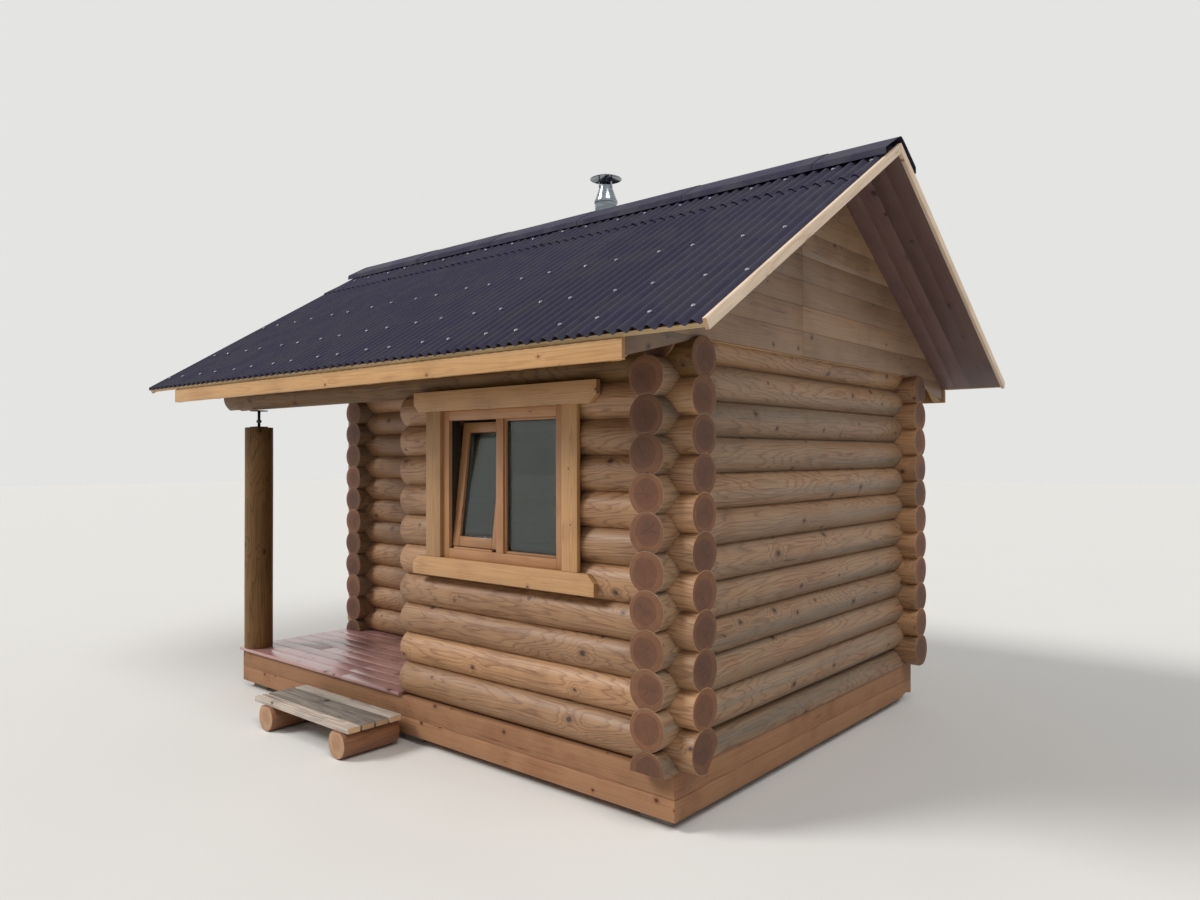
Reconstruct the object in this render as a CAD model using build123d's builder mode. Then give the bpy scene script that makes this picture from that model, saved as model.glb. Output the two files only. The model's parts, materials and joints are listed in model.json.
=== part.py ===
from build123d import *
import math
import os

# Log sauna with a corner porch, at real size in millimetres.
# The origin is on the ground under the middle of the base. +X runs along the ridge to the
# gable without the porch, +Y to the back wall and +Z up.

# Base and floor
base_length = 4230
base_width = 3050
block_height = 50
block_side = 200
block_inset = 60
blocks_a_side = 3
beam_thickness = 145
lower_beam_height = 111
upper_beam_height = 129
split_length = 170
split_height = 45
split_depth = 60
sleeper_width = 145
joist_width = 48
joist_depth = 120
joist_count = 7
floor_thickness = 22
floor_gap = 1
deck_board_width = 118
deck_board_gap = 3
deck_nosing = 22

# Logs: X logs run along the ridge, Y logs run across it, half a course apart
log_diameter = 212
sill_diameter = 228
sill_centre_rise = 110
half_log_centre_rise = 10
course_rise = 190
first_course_rise = 122
wall_courses = 10
wall_inset = 95
gable_overrun = 211
side_overrun = 195
porch_plate_overrun = 413
seat = 0.3

# Porch
porch_length = 2168
porch_depth = 1050
post_diameter = 216
post_shift_x = -13
post_shift_y = -10
jack_length = 138
jack_plate_side = 100
jack_plate_thickness = 8
jack_rod_diameter = 24
jack_nut_diameter = 40
jack_nut_height = 20
jack_nut_rise = 40

# Window
window_width = 1011
window_height = 890
window_from_right_wall = 1122
window_rise = 927
frame_depth = 90
frame_proud = 6
frame_face = 58
mullion_face = 60
settling_gap = 20
fit_gap = 0.5
bead_face = 14
bead_depth = 18
bead_recess = 12
pane_thickness = 24
sash_gap = 3
sash_face = 62
sash_depth = 64
sash_recess = 22
sash_lift = 14
sash_tilt = 7
hinge_width = 34
hinge_depth = 20
casing_thickness = 28
band_thickness = 34
left_casing_width = 136
right_casing_width = 113
head_band_height = 123
sill_band_height = 116
head_band_left_reach = 251
head_band_right_reach = 253
sill_band_left_reach = 260
sill_band_right_reach = 233
band_chamfer = 46

# Door in the back wall of the porch
door_width = 780
door_height = 1800
door_from_porch_side = 833
door_rise = 50
door_frame_face = 35
door_frame_depth = 150
door_stop_face = 14
door_leaf_thickness = 45
door_gap = 3
door_casing_width = 100
door_casing_thickness = 25
grip_length = 300
grip_rise = 850
grip_diameter = 30
grip_stand_off = 30
grip_inset = 70
grip_peg_diameter = 20
grip_peg_inset = 30

# Roof
roof_pitch = 31.7
plate_bevel = 19
overhang_right = 536
overhang_left = 508
eave_run = 2041
rafter_width = 48
rafter_depth = 98
rafter_count = 8
batten_width = 90
batten_thickness = 22
batten_pitch = 187
first_batten = 160
ridge_batten = 62
gable_stud_width = 48
gable_stud_pitch = 500
gable_stud_count = 5
gable_rail_height = 48
gable_rail_inset = 120
soffit_thickness = 12
verge_thickness = 22
verge_rise = 18
ridge_gap = 0.3
cladding_thickness = 20
cladding_drop = 6
cladding_break_run = 45
cladding_break_drop = 16
cladding_tip_rise = 18
fascia_thickness = 25
fascia_height = 92
fascia_past_right_cladding = 14
sheet_thickness = 3
sheet_wave = 76
sheet_wave_height = 26
sheet_flat_share = 0.3
sheet_eave_overhang = 22
sheet_length = 2000
sheet_lap = 170
sheet_ridge_gap = 30
ridge_cap_rise = 72
ridge_cap_run = 224
ridge_cap_drop = 128
ridge_cap_flare = 5
ridge_cap_thickness = 3

# Chimney
chimney_x = 10
chimney_y = 475
pipe_diameter = 180
pipe_wall = 2
pipe_below_ridge = 650
pipe_above_ridge = 303
band_height = 24
band_step = 6
cone_height = 99
cone_top_diameter = 112
spigot_height = 22
cowl_diameter = 262
cowl_gap = 54
cowl_height = 50
cowl_sheet = 2
strut_width = 18
strut_thickness = 3
strut_count = 3
strut_foot = 18
pipe_hole_gap = 22
flashing_side = 380
flashing_thickness = 3
collar_height = 190

# Step
step_height = 200
step_length = 1110
step_from_porch_side = 660
step_reach = 459
tread_thickness = 35
tread_width = 94
tread_gap = 6
tread_count = 4
leg_diameter = 180
leg_length = 402
leg_front_past_tread = 15
left_leg_inset = 177
right_leg_inset = 97

# Places worked out from the sizes above
log_radius = log_diameter / 2
base_top = block_height + lower_beam_height + upper_beam_height
deck_top = base_top + floor_thickness
right_face = base_length / 2
front_face = -base_width / 2
right_wall_x = right_face - wall_inset
front_wall_y = front_face + wall_inset
left_wall_x = -right_wall_x
back_wall_y = -front_wall_y
porch_side_x = left_wall_x + porch_length
porch_back_y = front_wall_y + porch_depth
window_centre_x = right_wall_x - window_from_right_wall
door_centre_x = porch_side_x - door_from_porch_side
step_centre_x = porch_side_x - step_from_porch_side
log_face_y = front_wall_y - log_radius
wall_reach = base_length
plate_course = wall_courses + 1
rafter_plate_course = wall_courses + 2
gable_inner_x = right_wall_x + log_radius
gable_outer_x = gable_inner_x + rafter_width
roof_right = right_face + overhang_right
roof_left = -right_face - overhang_left


def x_log_section(course):
    """Centre height and radius of an X log: course 1 is the sill log on the base."""
    if course == 1:
        return base_top + sill_centre_rise, sill_diameter / 2
    return base_top + first_course_rise + (course - 1) * course_rise, log_radius


def y_log_section(course):
    """Centre height and radius of a Y log: course 0 is the half log on the base."""
    if course == 0:
        return base_top + half_log_centre_rise, log_radius
    return base_top + first_course_rise + (course - 0.5) * course_rise, log_radius


plate_height = x_log_section(plate_course)[0]
pitch = math.radians(roof_pitch)
roof_depth = batten_thickness + rafter_depth
apex = (
    x_log_section(rafter_plate_course)[0]
    + (log_radius - plate_bevel + roof_depth) / math.cos(pitch)
    - front_wall_y * math.tan(pitch)
)
slope_length = eave_run / math.cos(pitch)
crest_height = sheet_wave_height + 2 * sheet_thickness + seat


def slope_height(run, depth=0):
    """Height of the plane that lies depth under the battens' top, at a level run from the ridge."""
    return apex - run * math.tan(pitch) - depth / math.cos(pitch)


def slope_point(length, depth=0):
    """Y and Z of a point of the front slope, length down from the ridge and depth under the top."""
    y = depth * math.sin(pitch) - length * math.cos(pitch)
    z = apex - length * math.sin(pitch) - depth * math.cos(pitch)
    return y, z


front_slope = Plane(origin=(0, 0, apex), x_dir=(1, 0, 0), z_dir=(0, -math.sin(pitch), math.cos(pitch)))
back_slope = Plane(origin=(0, 0, apex), x_dir=(1, 0, 0), z_dir=(0, math.sin(pitch), math.cos(pitch)))
down_front_slope = Plane(
    origin=(0, 0, apex), x_dir=(1, 0, 0), z_dir=(0, -math.cos(pitch), -math.sin(pitch))
)
fascia_bottom = slope_height(eave_run, batten_thickness) - fascia_height
fascia_back_run = eave_run - fascia_thickness


def x_log(course, y, x_from, x_to, crossings=(), opening=None):
    """A log along X, grooved over the log below and saddled over the Y logs at the crossings.

    An opening is a centre X, a width, a bottom and a top, and is cut right through.
    """
    height, radius = x_log_section(course)
    with BuildPart() as log:
        with BuildSketch(Plane.YZ.offset(x_from)):
            with Locations((y, height)):
                Circle(radius)
            if course > 1:
                height_below, radius_below = x_log_section(course - 1)
                with Locations((y, height_below)):
                    Circle(radius_below + seat, mode=Mode.SUBTRACT)
        extrude(amount=x_to - x_from)
        if crossings:
            crossed_height, crossed_radius = y_log_section(course - 1)
            with BuildSketch(Plane.XZ):
                with Locations(*[(x, crossed_height) for x in crossings]):
                    Circle(crossed_radius + seat)
            extrude(amount=wall_reach, both=True, mode=Mode.SUBTRACT)
        if opening:
            centre_x, width, bottom, top = opening
            with BuildSketch(Plane.XZ):
                with Locations((centre_x, (bottom + top) / 2)):
                    Rectangle(width, top - bottom)
            extrude(amount=wall_reach, both=True, mode=Mode.SUBTRACT)
        if course == 1:
            split(bisect_by=Plane.XY.offset(base_top), keep=Keep.TOP)
        if course == rafter_plate_course:
            underside = front_slope.offset(-roof_depth - seat)
            if y > 0:
                underside = back_slope.offset(-roof_depth - seat)
            split(bisect_by=underside, keep=Keep.BOTTOM)
    return log.part


def y_log(course, x, y_from, y_to, crossings=(), coped=False):
    """A log along Y, grooved over the log below, saddled over X logs and coped to the front wall."""
    height, radius = y_log_section(course)
    with BuildPart() as log:
        with BuildSketch(Plane.XZ.offset(-y_to)):
            with Locations((x, height)):
                Circle(radius)
            if course > 0:
                height_below, radius_below = y_log_section(course - 1)
                with Locations((x, height_below)):
                    Circle(radius_below + seat, mode=Mode.SUBTRACT)
        extrude(amount=y_to - y_from)
        if crossings and course > 0:
            crossed_height, crossed_radius = x_log_section(course)
            with BuildSketch(Plane.YZ):
                with Locations(*[(y, crossed_height) for y in crossings]):
                    Circle(crossed_radius + seat)
            extrude(amount=wall_reach, both=True, mode=Mode.SUBTRACT)
        if coped:
            with BuildSketch(Plane.YZ):
                for neighbour in (course, course + 1):
                    if neighbour > 0:
                        neighbour_height, neighbour_radius = x_log_section(neighbour)
                        with Locations((front_wall_y, neighbour_height)):
                            Circle(neighbour_radius + seat)
            extrude(amount=wall_reach, both=True, mode=Mode.SUBTRACT)
        if course == 0:
            split(bisect_by=Plane.XY.offset(base_top), keep=Keep.TOP)
    return log.part


def slope_slab(x_from, x_to, top, bottom, length):
    """A board under the front slope with a plumb cut at the ridge and a square cut at its foot."""
    half_gap = ridge_gap / 2
    outline = [
        (-half_gap, slope_height(half_gap, top)),
        slope_point(length, top),
        slope_point(length, bottom),
        (-half_gap, slope_height(half_gap, bottom)),
    ]
    with BuildPart() as slab:
        with BuildSketch(Plane.YZ.offset(x_from)):
            Polygon(*outline, align=None)
        extrude(amount=x_to - x_from)
    return slab.part


parts = {}

# Foundation, base frame and floor
inner_length = base_length - 2 * beam_thickness
inner_width = base_width - 2 * beam_thickness
block_pitch_x = (base_length - 2 * block_inset - block_side) / (blocks_a_side - 1)
block_pitch_y = (base_width - 2 * block_inset - block_side) / (blocks_a_side - 1)

with BuildPart() as foundation_blocks:
    with BuildSketch():
        with GridLocations(block_pitch_x, block_pitch_y, blocks_a_side, blocks_a_side):
            Rectangle(block_side, block_side)
    extrude(amount=block_height)
parts["foundation_blocks"] = foundation_blocks.part


def base_ring(bottom, height):
    """Four mitred beams of the base frame, on the plan's outline."""
    outer_x = right_face - seat
    inner_x = inner_length / 2 - seat
    outer_y = base_width / 2 - seat
    inner_y = inner_width / 2 - seat
    face_y = base_width / 2
    back_y = inner_width / 2
    with BuildPart() as ring:
        with BuildSketch(Plane.XY.offset(bottom)):
            for side in (-1, 1):
                Polygon(
                    (-outer_x, side * face_y),
                    (outer_x, side * face_y),
                    (inner_x, side * back_y),
                    (-inner_x, side * back_y),
                    align=None,
                )
                Polygon(
                    (side * right_face, -outer_y),
                    (side * right_face, outer_y),
                    (side * inner_length / 2, inner_y),
                    (side * inner_length / 2, -inner_y),
                    align=None,
                )
        extrude(amount=height)
    return ring.part


lower_ring = base_ring(block_height, lower_beam_height)
with BuildPart() as lower_base_beams:
    add(lower_ring)
    with BuildSketch(Plane.YZ.offset(right_face)):
        Polygon(
            (-front_face, block_height),
            (-front_face - split_length, block_height),
            (-front_face, block_height + split_height),
            align=None,
        )
    extrude(amount=-split_depth, mode=Mode.SUBTRACT)
parts["lower_base_beams"] = lower_base_beams.part

upper_ring = base_ring(block_height + lower_beam_height, upper_beam_height)
with BuildPart() as upper_base_beams:
    add(upper_ring)
parts["upper_base_beams"] = upper_base_beams.part

with BuildPart() as floor_sleeper:
    with BuildSketch(Plane.XY.offset(block_height)):
        Rectangle(inner_length, sleeper_width)
    extrude(amount=base_top - joist_depth - block_height)
parts["floor_sleeper"] = floor_sleeper.part

with BuildPart() as floor_joists:
    with BuildSketch(Plane.XY.offset(base_top - joist_depth)):
        with GridLocations(inner_length / (joist_count + 1), 1, joist_count, 1):
            Rectangle(joist_width, inner_width)
    extrude(amount=joist_depth)
parts["floor_joists"] = floor_joists.part

sill_half_width = math.sqrt((sill_diameter / 2) ** 2 - (sill_centre_rise - floor_thickness) ** 2)
floor_edge_y = sill_half_width + floor_gap
floor_edge_x = log_radius + floor_gap
overrun_edge = side_overrun + floor_gap

with BuildPart() as room_floor:
    with BuildSketch(Plane.XY.offset(base_top)):
        Rectangle(2 * (right_wall_x - floor_edge_x), 2 * (back_wall_y - floor_edge_y))
        with Locations((porch_side_x + floor_edge_x, porch_back_y + floor_edge_y)):
            Rectangle(base_length, base_width, align=(Align.MAX, Align.MAX), mode=Mode.SUBTRACT)
        with Locations((porch_side_x + overrun_edge, porch_back_y)):
            Rectangle(
                base_length, 2 * floor_edge_y, align=(Align.MAX, Align.CENTER), mode=Mode.SUBTRACT
            )
        with Locations((porch_side_x, porch_back_y + overrun_edge)):
            Rectangle(2 * floor_edge_x, base_width, align=(Align.CENTER, Align.MAX), mode=Mode.SUBTRACT)
    extrude(amount=floor_thickness)
parts["room_floor"] = room_floor.part

deck_front = front_face - deck_nosing
deck_pitch = deck_board_width + deck_board_gap
deck_depth = porch_back_y - floor_edge_y - deck_front
with BuildPart() as porch_deck:
    with BuildSketch(Plane.XY.offset(base_top)):
        for board in range(int((deck_depth + deck_board_gap) // deck_pitch)):
            board_front = deck_front + board * deck_pitch
            board_left = -right_face - deck_nosing
            board_right = porch_side_x - floor_edge_x
            if board_front + deck_board_width > porch_back_y - side_overrun - floor_gap:
                board_left = left_wall_x + floor_edge_x
            if board_front < front_wall_y + floor_edge_y:
                board_right = porch_side_x - side_overrun - floor_gap
            with Locations((board_left, board_front)):
                Rectangle(board_right - board_left, deck_board_width, align=(Align.MIN, Align.MIN))
    extrude(amount=floor_thickness)
parts["porch_deck"] = porch_deck.part

# Log walls
window_bottom = base_top + window_rise
window_top = window_bottom + window_height
window_opening = (
    window_centre_x,
    window_width + 2 * fit_gap,
    window_bottom,
    window_top + settling_gap,
)
door_bottom = base_top + door_rise
door_top = door_bottom + door_height
door_opening = (door_centre_x, door_width + 2 * fit_gap, door_bottom, door_top)

front_x_from = porch_side_x - side_overrun
x_log_to = right_wall_x + gable_overrun
x_log_from = left_wall_x - gable_overrun
y_log_from = front_wall_y - side_overrun
y_log_to = back_wall_y + side_overrun

front_logs = [
    x_log(course, front_wall_y, front_x_from, x_log_to, (right_wall_x,), window_opening)
    for course in range(1, wall_courses + 1)
]
back_logs = [
    x_log(course, back_wall_y, x_log_from, x_log_to, (left_wall_x, right_wall_x))
    for course in range(1, plate_course + 1)
]
porch_back_logs = [
    x_log(
        course,
        porch_back_y,
        x_log_from,
        porch_side_x + side_overrun,
        (left_wall_x, porch_side_x),
        door_opening,
    )
    for course in range(1, plate_course + 1)
]
right_logs = [
    y_log(course, right_wall_x, y_log_from, y_log_to, (front_wall_y, back_wall_y))
    for course in range(wall_courses + 1)
]
left_logs = [
    y_log(course, left_wall_x, porch_back_y - side_overrun, y_log_to, (porch_back_y, back_wall_y))
    for course in range(wall_courses + 1)
]
porch_side_logs = [
    y_log(course, porch_side_x, front_wall_y, porch_back_y + side_overrun, (porch_back_y,), True)
    for course in range(wall_courses + 1)
]
front_plate = x_log(
    plate_course, front_wall_y, left_wall_x - porch_plate_overrun, x_log_to, (right_wall_x,)
)
rafter_plates = [
    x_log(rafter_plate_course, y, -gable_outer_x, gable_outer_x, (left_wall_x, right_wall_x))
    for y in (front_wall_y, back_wall_y)
]
tie_to = back_wall_y + log_radius
tie_logs = [
    y_log(plate_course, right_wall_x, -tie_to, tie_to, (front_wall_y, back_wall_y)),
    y_log(plate_course, left_wall_x, -tie_to, tie_to, (front_wall_y, porch_back_y, back_wall_y)),
]

with BuildPart() as front_wall_logs:
    add(front_logs)
parts["front_wall_logs"] = front_wall_logs.part

with BuildPart() as back_wall_logs:
    add(back_logs)
parts["back_wall_logs"] = back_wall_logs.part

with BuildPart() as right_wall_logs:
    add(right_logs)
parts["right_wall_logs"] = right_wall_logs.part

with BuildPart() as left_wall_logs:
    add(left_logs)
parts["left_wall_logs"] = left_wall_logs.part

with BuildPart() as porch_back_wall_logs:
    add(porch_back_logs[1 : wall_courses - 1])
    add(porch_back_logs[wall_courses:])
parts["porch_back_wall_logs"] = porch_back_wall_logs.part

with BuildPart() as door_sill_log:
    add(porch_back_logs[0])
parts["door_sill_log"] = door_sill_log.part

with BuildPart() as door_head_log:
    add(porch_back_logs[wall_courses - 1])
parts["door_head_log"] = door_head_log.part

with BuildPart() as porch_side_wall_logs:
    add(porch_side_logs)
parts["porch_side_wall_logs"] = porch_side_wall_logs.part

with BuildPart() as front_plate_log:
    add(front_plate)
parts["front_plate_log"] = front_plate_log.part

with BuildPart() as rafter_plate_logs:
    add(rafter_plates)
parts["rafter_plate_logs"] = rafter_plate_logs.part

with BuildPart() as gable_tie_logs:
    add(tie_logs)
parts["gable_tie_logs"] = gable_tie_logs.part

# Porch post on its settling jack
post_x = left_wall_x + post_shift_x
post_y = front_wall_y + post_shift_y
plate_underside = plate_height - math.sqrt(log_radius**2 - post_shift_y**2) - seat
post_top = plate_underside - jack_length

with BuildPart() as porch_post:
    with BuildSketch(Plane.XY.offset(deck_top)):
        with Locations((post_x, post_y)):
            Circle(post_diameter / 2)
    extrude(amount=post_top - deck_top)
parts["porch_post"] = porch_post.part

with BuildPart() as post_jack:
    with BuildSketch(Plane.XY.offset(post_top)):
        with Locations((post_x, post_y)):
            Rectangle(jack_plate_side, jack_plate_side)
    extrude(amount=jack_plate_thickness)
    with BuildSketch(Plane.XY.offset(post_top)):
        with Locations((post_x, post_y)):
            Circle(jack_rod_diameter / 2)
    extrude(amount=jack_length)
    with BuildSketch(Plane.XY.offset(post_top + jack_nut_rise)):
        with Locations((post_x, post_y)):
            RegularPolygon(jack_nut_diameter / 2, 6)
    extrude(amount=jack_nut_height)
    with BuildSketch(Plane.XY.offset(post_top + jack_length)):
        with Locations((post_x, post_y)):
            Rectangle(jack_plate_side, jack_plate_side)
    extrude(amount=-jack_plate_thickness)
parts["post_jack"] = post_jack.part

# Window
frame_front = log_face_y - frame_proud
light_width = (window_width - 2 * frame_face - mullion_face) / 2
light_height = window_height - 2 * frame_face
light_shift = (mullion_face + light_width) / 2
window_centre_z = window_bottom + window_height / 2
bead_front = frame_front + bead_recess
pane_front = bead_front + bead_depth

with BuildPart() as window_frame:
    with BuildSketch(Plane.XZ.offset(-frame_front)):
        with Locations((window_centre_x, window_centre_z)):
            Rectangle(window_width, window_height)
        with Locations(
            (window_centre_x - light_shift, window_centre_z),
            (window_centre_x + light_shift, window_centre_z),
        ):
            Rectangle(light_width, light_height, mode=Mode.SUBTRACT)
    extrude(amount=-frame_depth)
    with BuildSketch(Plane.XZ.offset(-bead_front)):
        with Locations((window_centre_x + light_shift, window_centre_z)):
            Rectangle(light_width, light_height)
            Rectangle(light_width - 2 * bead_face, light_height - 2 * bead_face, mode=Mode.SUBTRACT)
    extrude(amount=-bead_depth)
parts["window_frame"] = window_frame.part

sash_width = light_width - 2 * sash_gap
sash_height = light_height - sash_lift - sash_gap
sash_bottom = window_bottom + frame_face + sash_lift
sash_front = frame_front + sash_recess
tilt = math.radians(sash_tilt)
sash_plane = Plane(
    origin=(window_centre_x - light_shift, sash_front, sash_bottom),
    x_dir=(1, 0, 0),
    z_dir=(0, -math.cos(tilt), math.sin(tilt)),
)
sash_light_width = sash_width - 2 * sash_face
sash_light_height = sash_height - 2 * sash_face
sash_pane_depth = (sash_depth - pane_thickness) / 2

with BuildPart() as window_sash:
    with BuildSketch(sash_plane):
        with Locations((0, sash_height / 2)):
            Rectangle(sash_width, sash_height)
            Rectangle(sash_light_width, sash_light_height, mode=Mode.SUBTRACT)
    extrude(amount=-sash_depth)
parts["window_sash"] = window_sash.part

with BuildPart() as window_panes:
    with BuildSketch(Plane.XZ.offset(-pane_front - seat)):
        with Locations((window_centre_x + light_shift, window_centre_z)):
            Rectangle(light_width - 2 * seat, light_height - 2 * seat)
    extrude(amount=-pane_thickness)
    with BuildSketch(sash_plane.offset(-sash_pane_depth)):
        with Locations((0, sash_height / 2)):
            Rectangle(sash_light_width - 2 * seat, sash_light_height - 2 * seat)
    extrude(amount=-pane_thickness)
parts["window_panes"] = window_panes.part

hinge_height = sash_lift - hinge_depth * math.tan(tilt) - seat
hinge_shift = (sash_width - hinge_width) / 2
with BuildPart() as sash_hinges:
    with BuildSketch(Plane.XY.offset(window_bottom + frame_face)):
        with Locations(
            (window_centre_x - light_shift - hinge_shift, sash_front + hinge_depth / 2),
            (window_centre_x - light_shift + hinge_shift, sash_front + hinge_depth / 2),
        ):
            Rectangle(hinge_width, hinge_depth)
    extrude(amount=hinge_height)
parts["sash_hinges"] = sash_hinges.part

casing_back = log_face_y - seat
window_left = window_centre_x - window_width / 2 - fit_gap
window_right = window_centre_x + window_width / 2 + fit_gap


def window_band(left, right, bottom, top, chamfered_edge):
    """The board over or under the window, with the two corners next to the casings cut off."""
    with BuildPart() as band:
        with BuildSketch(Plane.XZ.offset(-casing_back)) as outline:
            with Locations(((left + right) / 2, (bottom + top) / 2)):
                Rectangle(right - left, top - bottom)
            corners = outline.vertices().group_by(Axis.Y)[chamfered_edge]
            chamfer(corners, band_chamfer)
        extrude(amount=band_thickness)
    return band.part


head_band = window_band(
    window_left - head_band_left_reach,
    window_right + head_band_right_reach,
    window_top + fit_gap,
    window_top + fit_gap + head_band_height,
    0,
)
sill_band = window_band(
    window_left - sill_band_left_reach,
    window_right + sill_band_right_reach,
    window_bottom - fit_gap - sill_band_height,
    window_bottom - fit_gap,
    -1,
)
with BuildPart() as window_casing:
    with BuildSketch(Plane.XZ.offset(-casing_back)):
        with Locations((window_left, window_centre_z)):
            Rectangle(left_casing_width, window_height, align=(Align.MAX, Align.CENTER))
        with Locations((window_right, window_centre_z)):
            Rectangle(right_casing_width, window_height, align=(Align.MIN, Align.CENTER))
    extrude(amount=casing_thickness)
    add([head_band, sill_band])
parts["window_casing"] = window_casing.part

# Door, closed
door_face_y = porch_back_y - sill_diameter / 2 - seat
door_centre_z = (door_bottom + door_top) / 2
leaf_width = door_width - 2 * door_frame_face - 2 * door_gap
leaf_height = door_height - 2 * door_frame_face - 2 * door_gap

with BuildPart() as door_frame:
    with BuildSketch(Plane.XZ.offset(-door_face_y)):
        with Locations((door_centre_x, door_centre_z)):
            Rectangle(door_width, door_height)
            Rectangle(
                door_width - 2 * door_frame_face,
                door_height - 2 * door_frame_face,
                mode=Mode.SUBTRACT,
            )
    extrude(amount=-door_frame_depth)
    with BuildSketch(Plane.XZ.offset(-door_face_y - door_leaf_thickness - seat)):
        with Locations((door_centre_x, door_centre_z)):
            Rectangle(door_width, door_height)
            Rectangle(
                door_width - 2 * door_frame_face - 2 * door_stop_face,
                door_height - 2 * door_frame_face - 2 * door_stop_face,
                mode=Mode.SUBTRACT,
            )
    extrude(amount=door_leaf_thickness + door_stop_face + seat - door_frame_depth)
parts["door_frame"] = door_frame.part

with BuildPart() as door_leaf:
    with BuildSketch(Plane.XZ.offset(-door_face_y)):
        with Locations((door_centre_x, door_centre_z)):
            Rectangle(leaf_width, leaf_height)
    extrude(amount=-door_leaf_thickness)
parts["door_leaf"] = door_leaf.part

grip_x = door_centre_x + leaf_width / 2 - grip_inset
grip_y = door_face_y - grip_stand_off - grip_diameter / 2
grip_centre_z = deck_top + grip_rise + grip_length / 2
with BuildPart() as door_grip:
    with BuildSketch(Plane.XY.offset(grip_centre_z - grip_length / 2)):
        with Locations((grip_x, grip_y)):
            Circle(grip_diameter / 2)
    extrude(amount=grip_length)
    with BuildSketch(Plane.XZ.offset(-door_face_y)):
        with Locations((grip_x, grip_centre_z)):
            with GridLocations(1, grip_length - 2 * grip_peg_inset, 1, 2):
                Circle(grip_peg_diameter / 2)
    extrude(amount=grip_stand_off + grip_diameter / 2)
parts["door_grip"] = door_grip.part

with BuildPart() as door_casing:
    with BuildSketch(Plane.XZ.offset(-door_face_y)):
        for side in (-1, 1):
            with Locations((door_centre_x + side * (door_width + door_casing_width) / 2, door_centre_z)):
                Rectangle(door_casing_width - 2 * fit_gap, door_height)
        with Locations((door_centre_x, door_top + fit_gap + door_casing_width / 2)):
            Rectangle(door_width + 2 * door_casing_width, door_casing_width)
    extrude(amount=door_casing_thickness)
parts["door_casing"] = door_casing.part

# Rafters, battens and gables
rafter_pitch = (gable_inner_x + gable_outer_x) / (rafter_count - 1)
with BuildPart() as rafters:
    for rafter in range(rafter_count):
        rafter_x = -gable_outer_x + rafter * rafter_pitch
        with BuildSketch(Plane.YZ.offset(rafter_x)):
            Polygon(
                (-ridge_gap / 2, slope_height(ridge_gap / 2, batten_thickness)),
                (-fascia_back_run, slope_height(fascia_back_run, batten_thickness)),
                (-fascia_back_run, slope_height(fascia_back_run, roof_depth)),
                (-ridge_gap / 2, slope_height(ridge_gap / 2, roof_depth)),
                align=None,
            )
            with Locations((0, fascia_bottom)):
                Rectangle(
                    2 * eave_run, base_length, align=(Align.CENTER, Align.MIN), mode=Mode.INTERSECT
                )
        extrude(amount=rafter_width)
    mirror(about=Plane.XZ)
parts["rafters"] = rafters.part

batten_left = roof_left + verge_thickness
batten_right = roof_right - verge_thickness
batten_middle = (batten_left + batten_right) / 2
batten_rows = int((slope_length - first_batten - ridge_batten - batten_width) // batten_pitch) + 1
batten_places = [slope_length - batten_width / 2, ridge_batten]
batten_places += [slope_length - first_batten - row * batten_pitch for row in range(batten_rows)]

with BuildPart() as roof_battens:
    with BuildSketch(front_slope):
        with Locations(*[(batten_middle, -place) for place in batten_places]):
            Rectangle(batten_right - batten_left, batten_width)
    extrude(amount=-batten_thickness)
    mirror(about=Plane.XZ)
    with BuildSketch(Plane.XY.offset(apex)):
        with Locations((chimney_x, chimney_y)):
            Circle(pipe_diameter / 2 + pipe_hole_gap)
    extrude(amount=-apex, mode=Mode.SUBTRACT)
parts["roof_battens"] = roof_battens.part

cladding_bottom = plate_height + log_radius - cladding_drop
cladding_tip_run = fascia_back_run - seat
cladding_outer_x = gable_outer_x + cladding_thickness


def gable_cladding(x_inner, x_outer, scribed_logs):
    """The boarded gable, with a low foot out to each eave and scribed round the log ends below."""
    half_outline = [
        (cladding_tip_run, slope_height(cladding_tip_run, batten_thickness) - seat),
        (cladding_tip_run, fascia_bottom + cladding_tip_rise),
        (-front_wall_y + cladding_break_run, cladding_bottom - cladding_break_drop),
        (-front_wall_y, cladding_bottom),
    ]
    outline = [(0, slope_height(0, batten_thickness) - seat)]
    outline += half_outline
    outline += [(-run, height) for run, height in reversed(half_outline)]
    with BuildPart() as cladding:
        with BuildSketch(Plane.YZ.offset(x_inner)):
            Polygon(*outline, align=None)
            with Locations(*[(y, plate_height) for y in scribed_logs]):
                Circle(log_radius + seat, mode=Mode.SUBTRACT)
        extrude(amount=x_outer - x_inner)
    return cladding.part


right_cladding = gable_cladding(gable_outer_x, cladding_outer_x, (front_wall_y, back_wall_y))
left_cladding = gable_cladding(
    -cladding_outer_x, -gable_outer_x, (front_wall_y, porch_back_y, back_wall_y)
)
with BuildPart() as right_gable_cladding:
    add(right_cladding)
parts["right_gable_cladding"] = right_gable_cladding.part

with BuildPart() as left_gable_cladding:
    add(left_cladding)
parts["left_gable_cladding"] = left_gable_cladding.part

gable_rail_reach = back_wall_y - gable_rail_inset
gable_rail_bottom = plate_height + log_radius + seat
with BuildPart() as gable_frames:
    for frame_x in (gable_inner_x + seat, -gable_outer_x):
        with BuildSketch(Plane.YZ.offset(frame_x)):
            with Locations((0, gable_rail_bottom)):
                Rectangle(
                    2 * gable_rail_reach, gable_rail_height, align=(Align.CENTER, Align.MIN)
                )
                with GridLocations(gable_stud_pitch, 1, gable_stud_count, 1):
                    Rectangle(gable_stud_width, apex, align=(Align.CENTER, Align.MIN))
            Polygon(
                (0, slope_height(0, roof_depth) - seat),
                (eave_run, slope_height(eave_run, roof_depth) - seat),
                (-eave_run, slope_height(eave_run, roof_depth) - seat),
                align=None,
                mode=Mode.INTERSECT,
            )
        extrude(amount=rafter_width - seat)
parts["gable_frames"] = gable_frames.part

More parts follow.
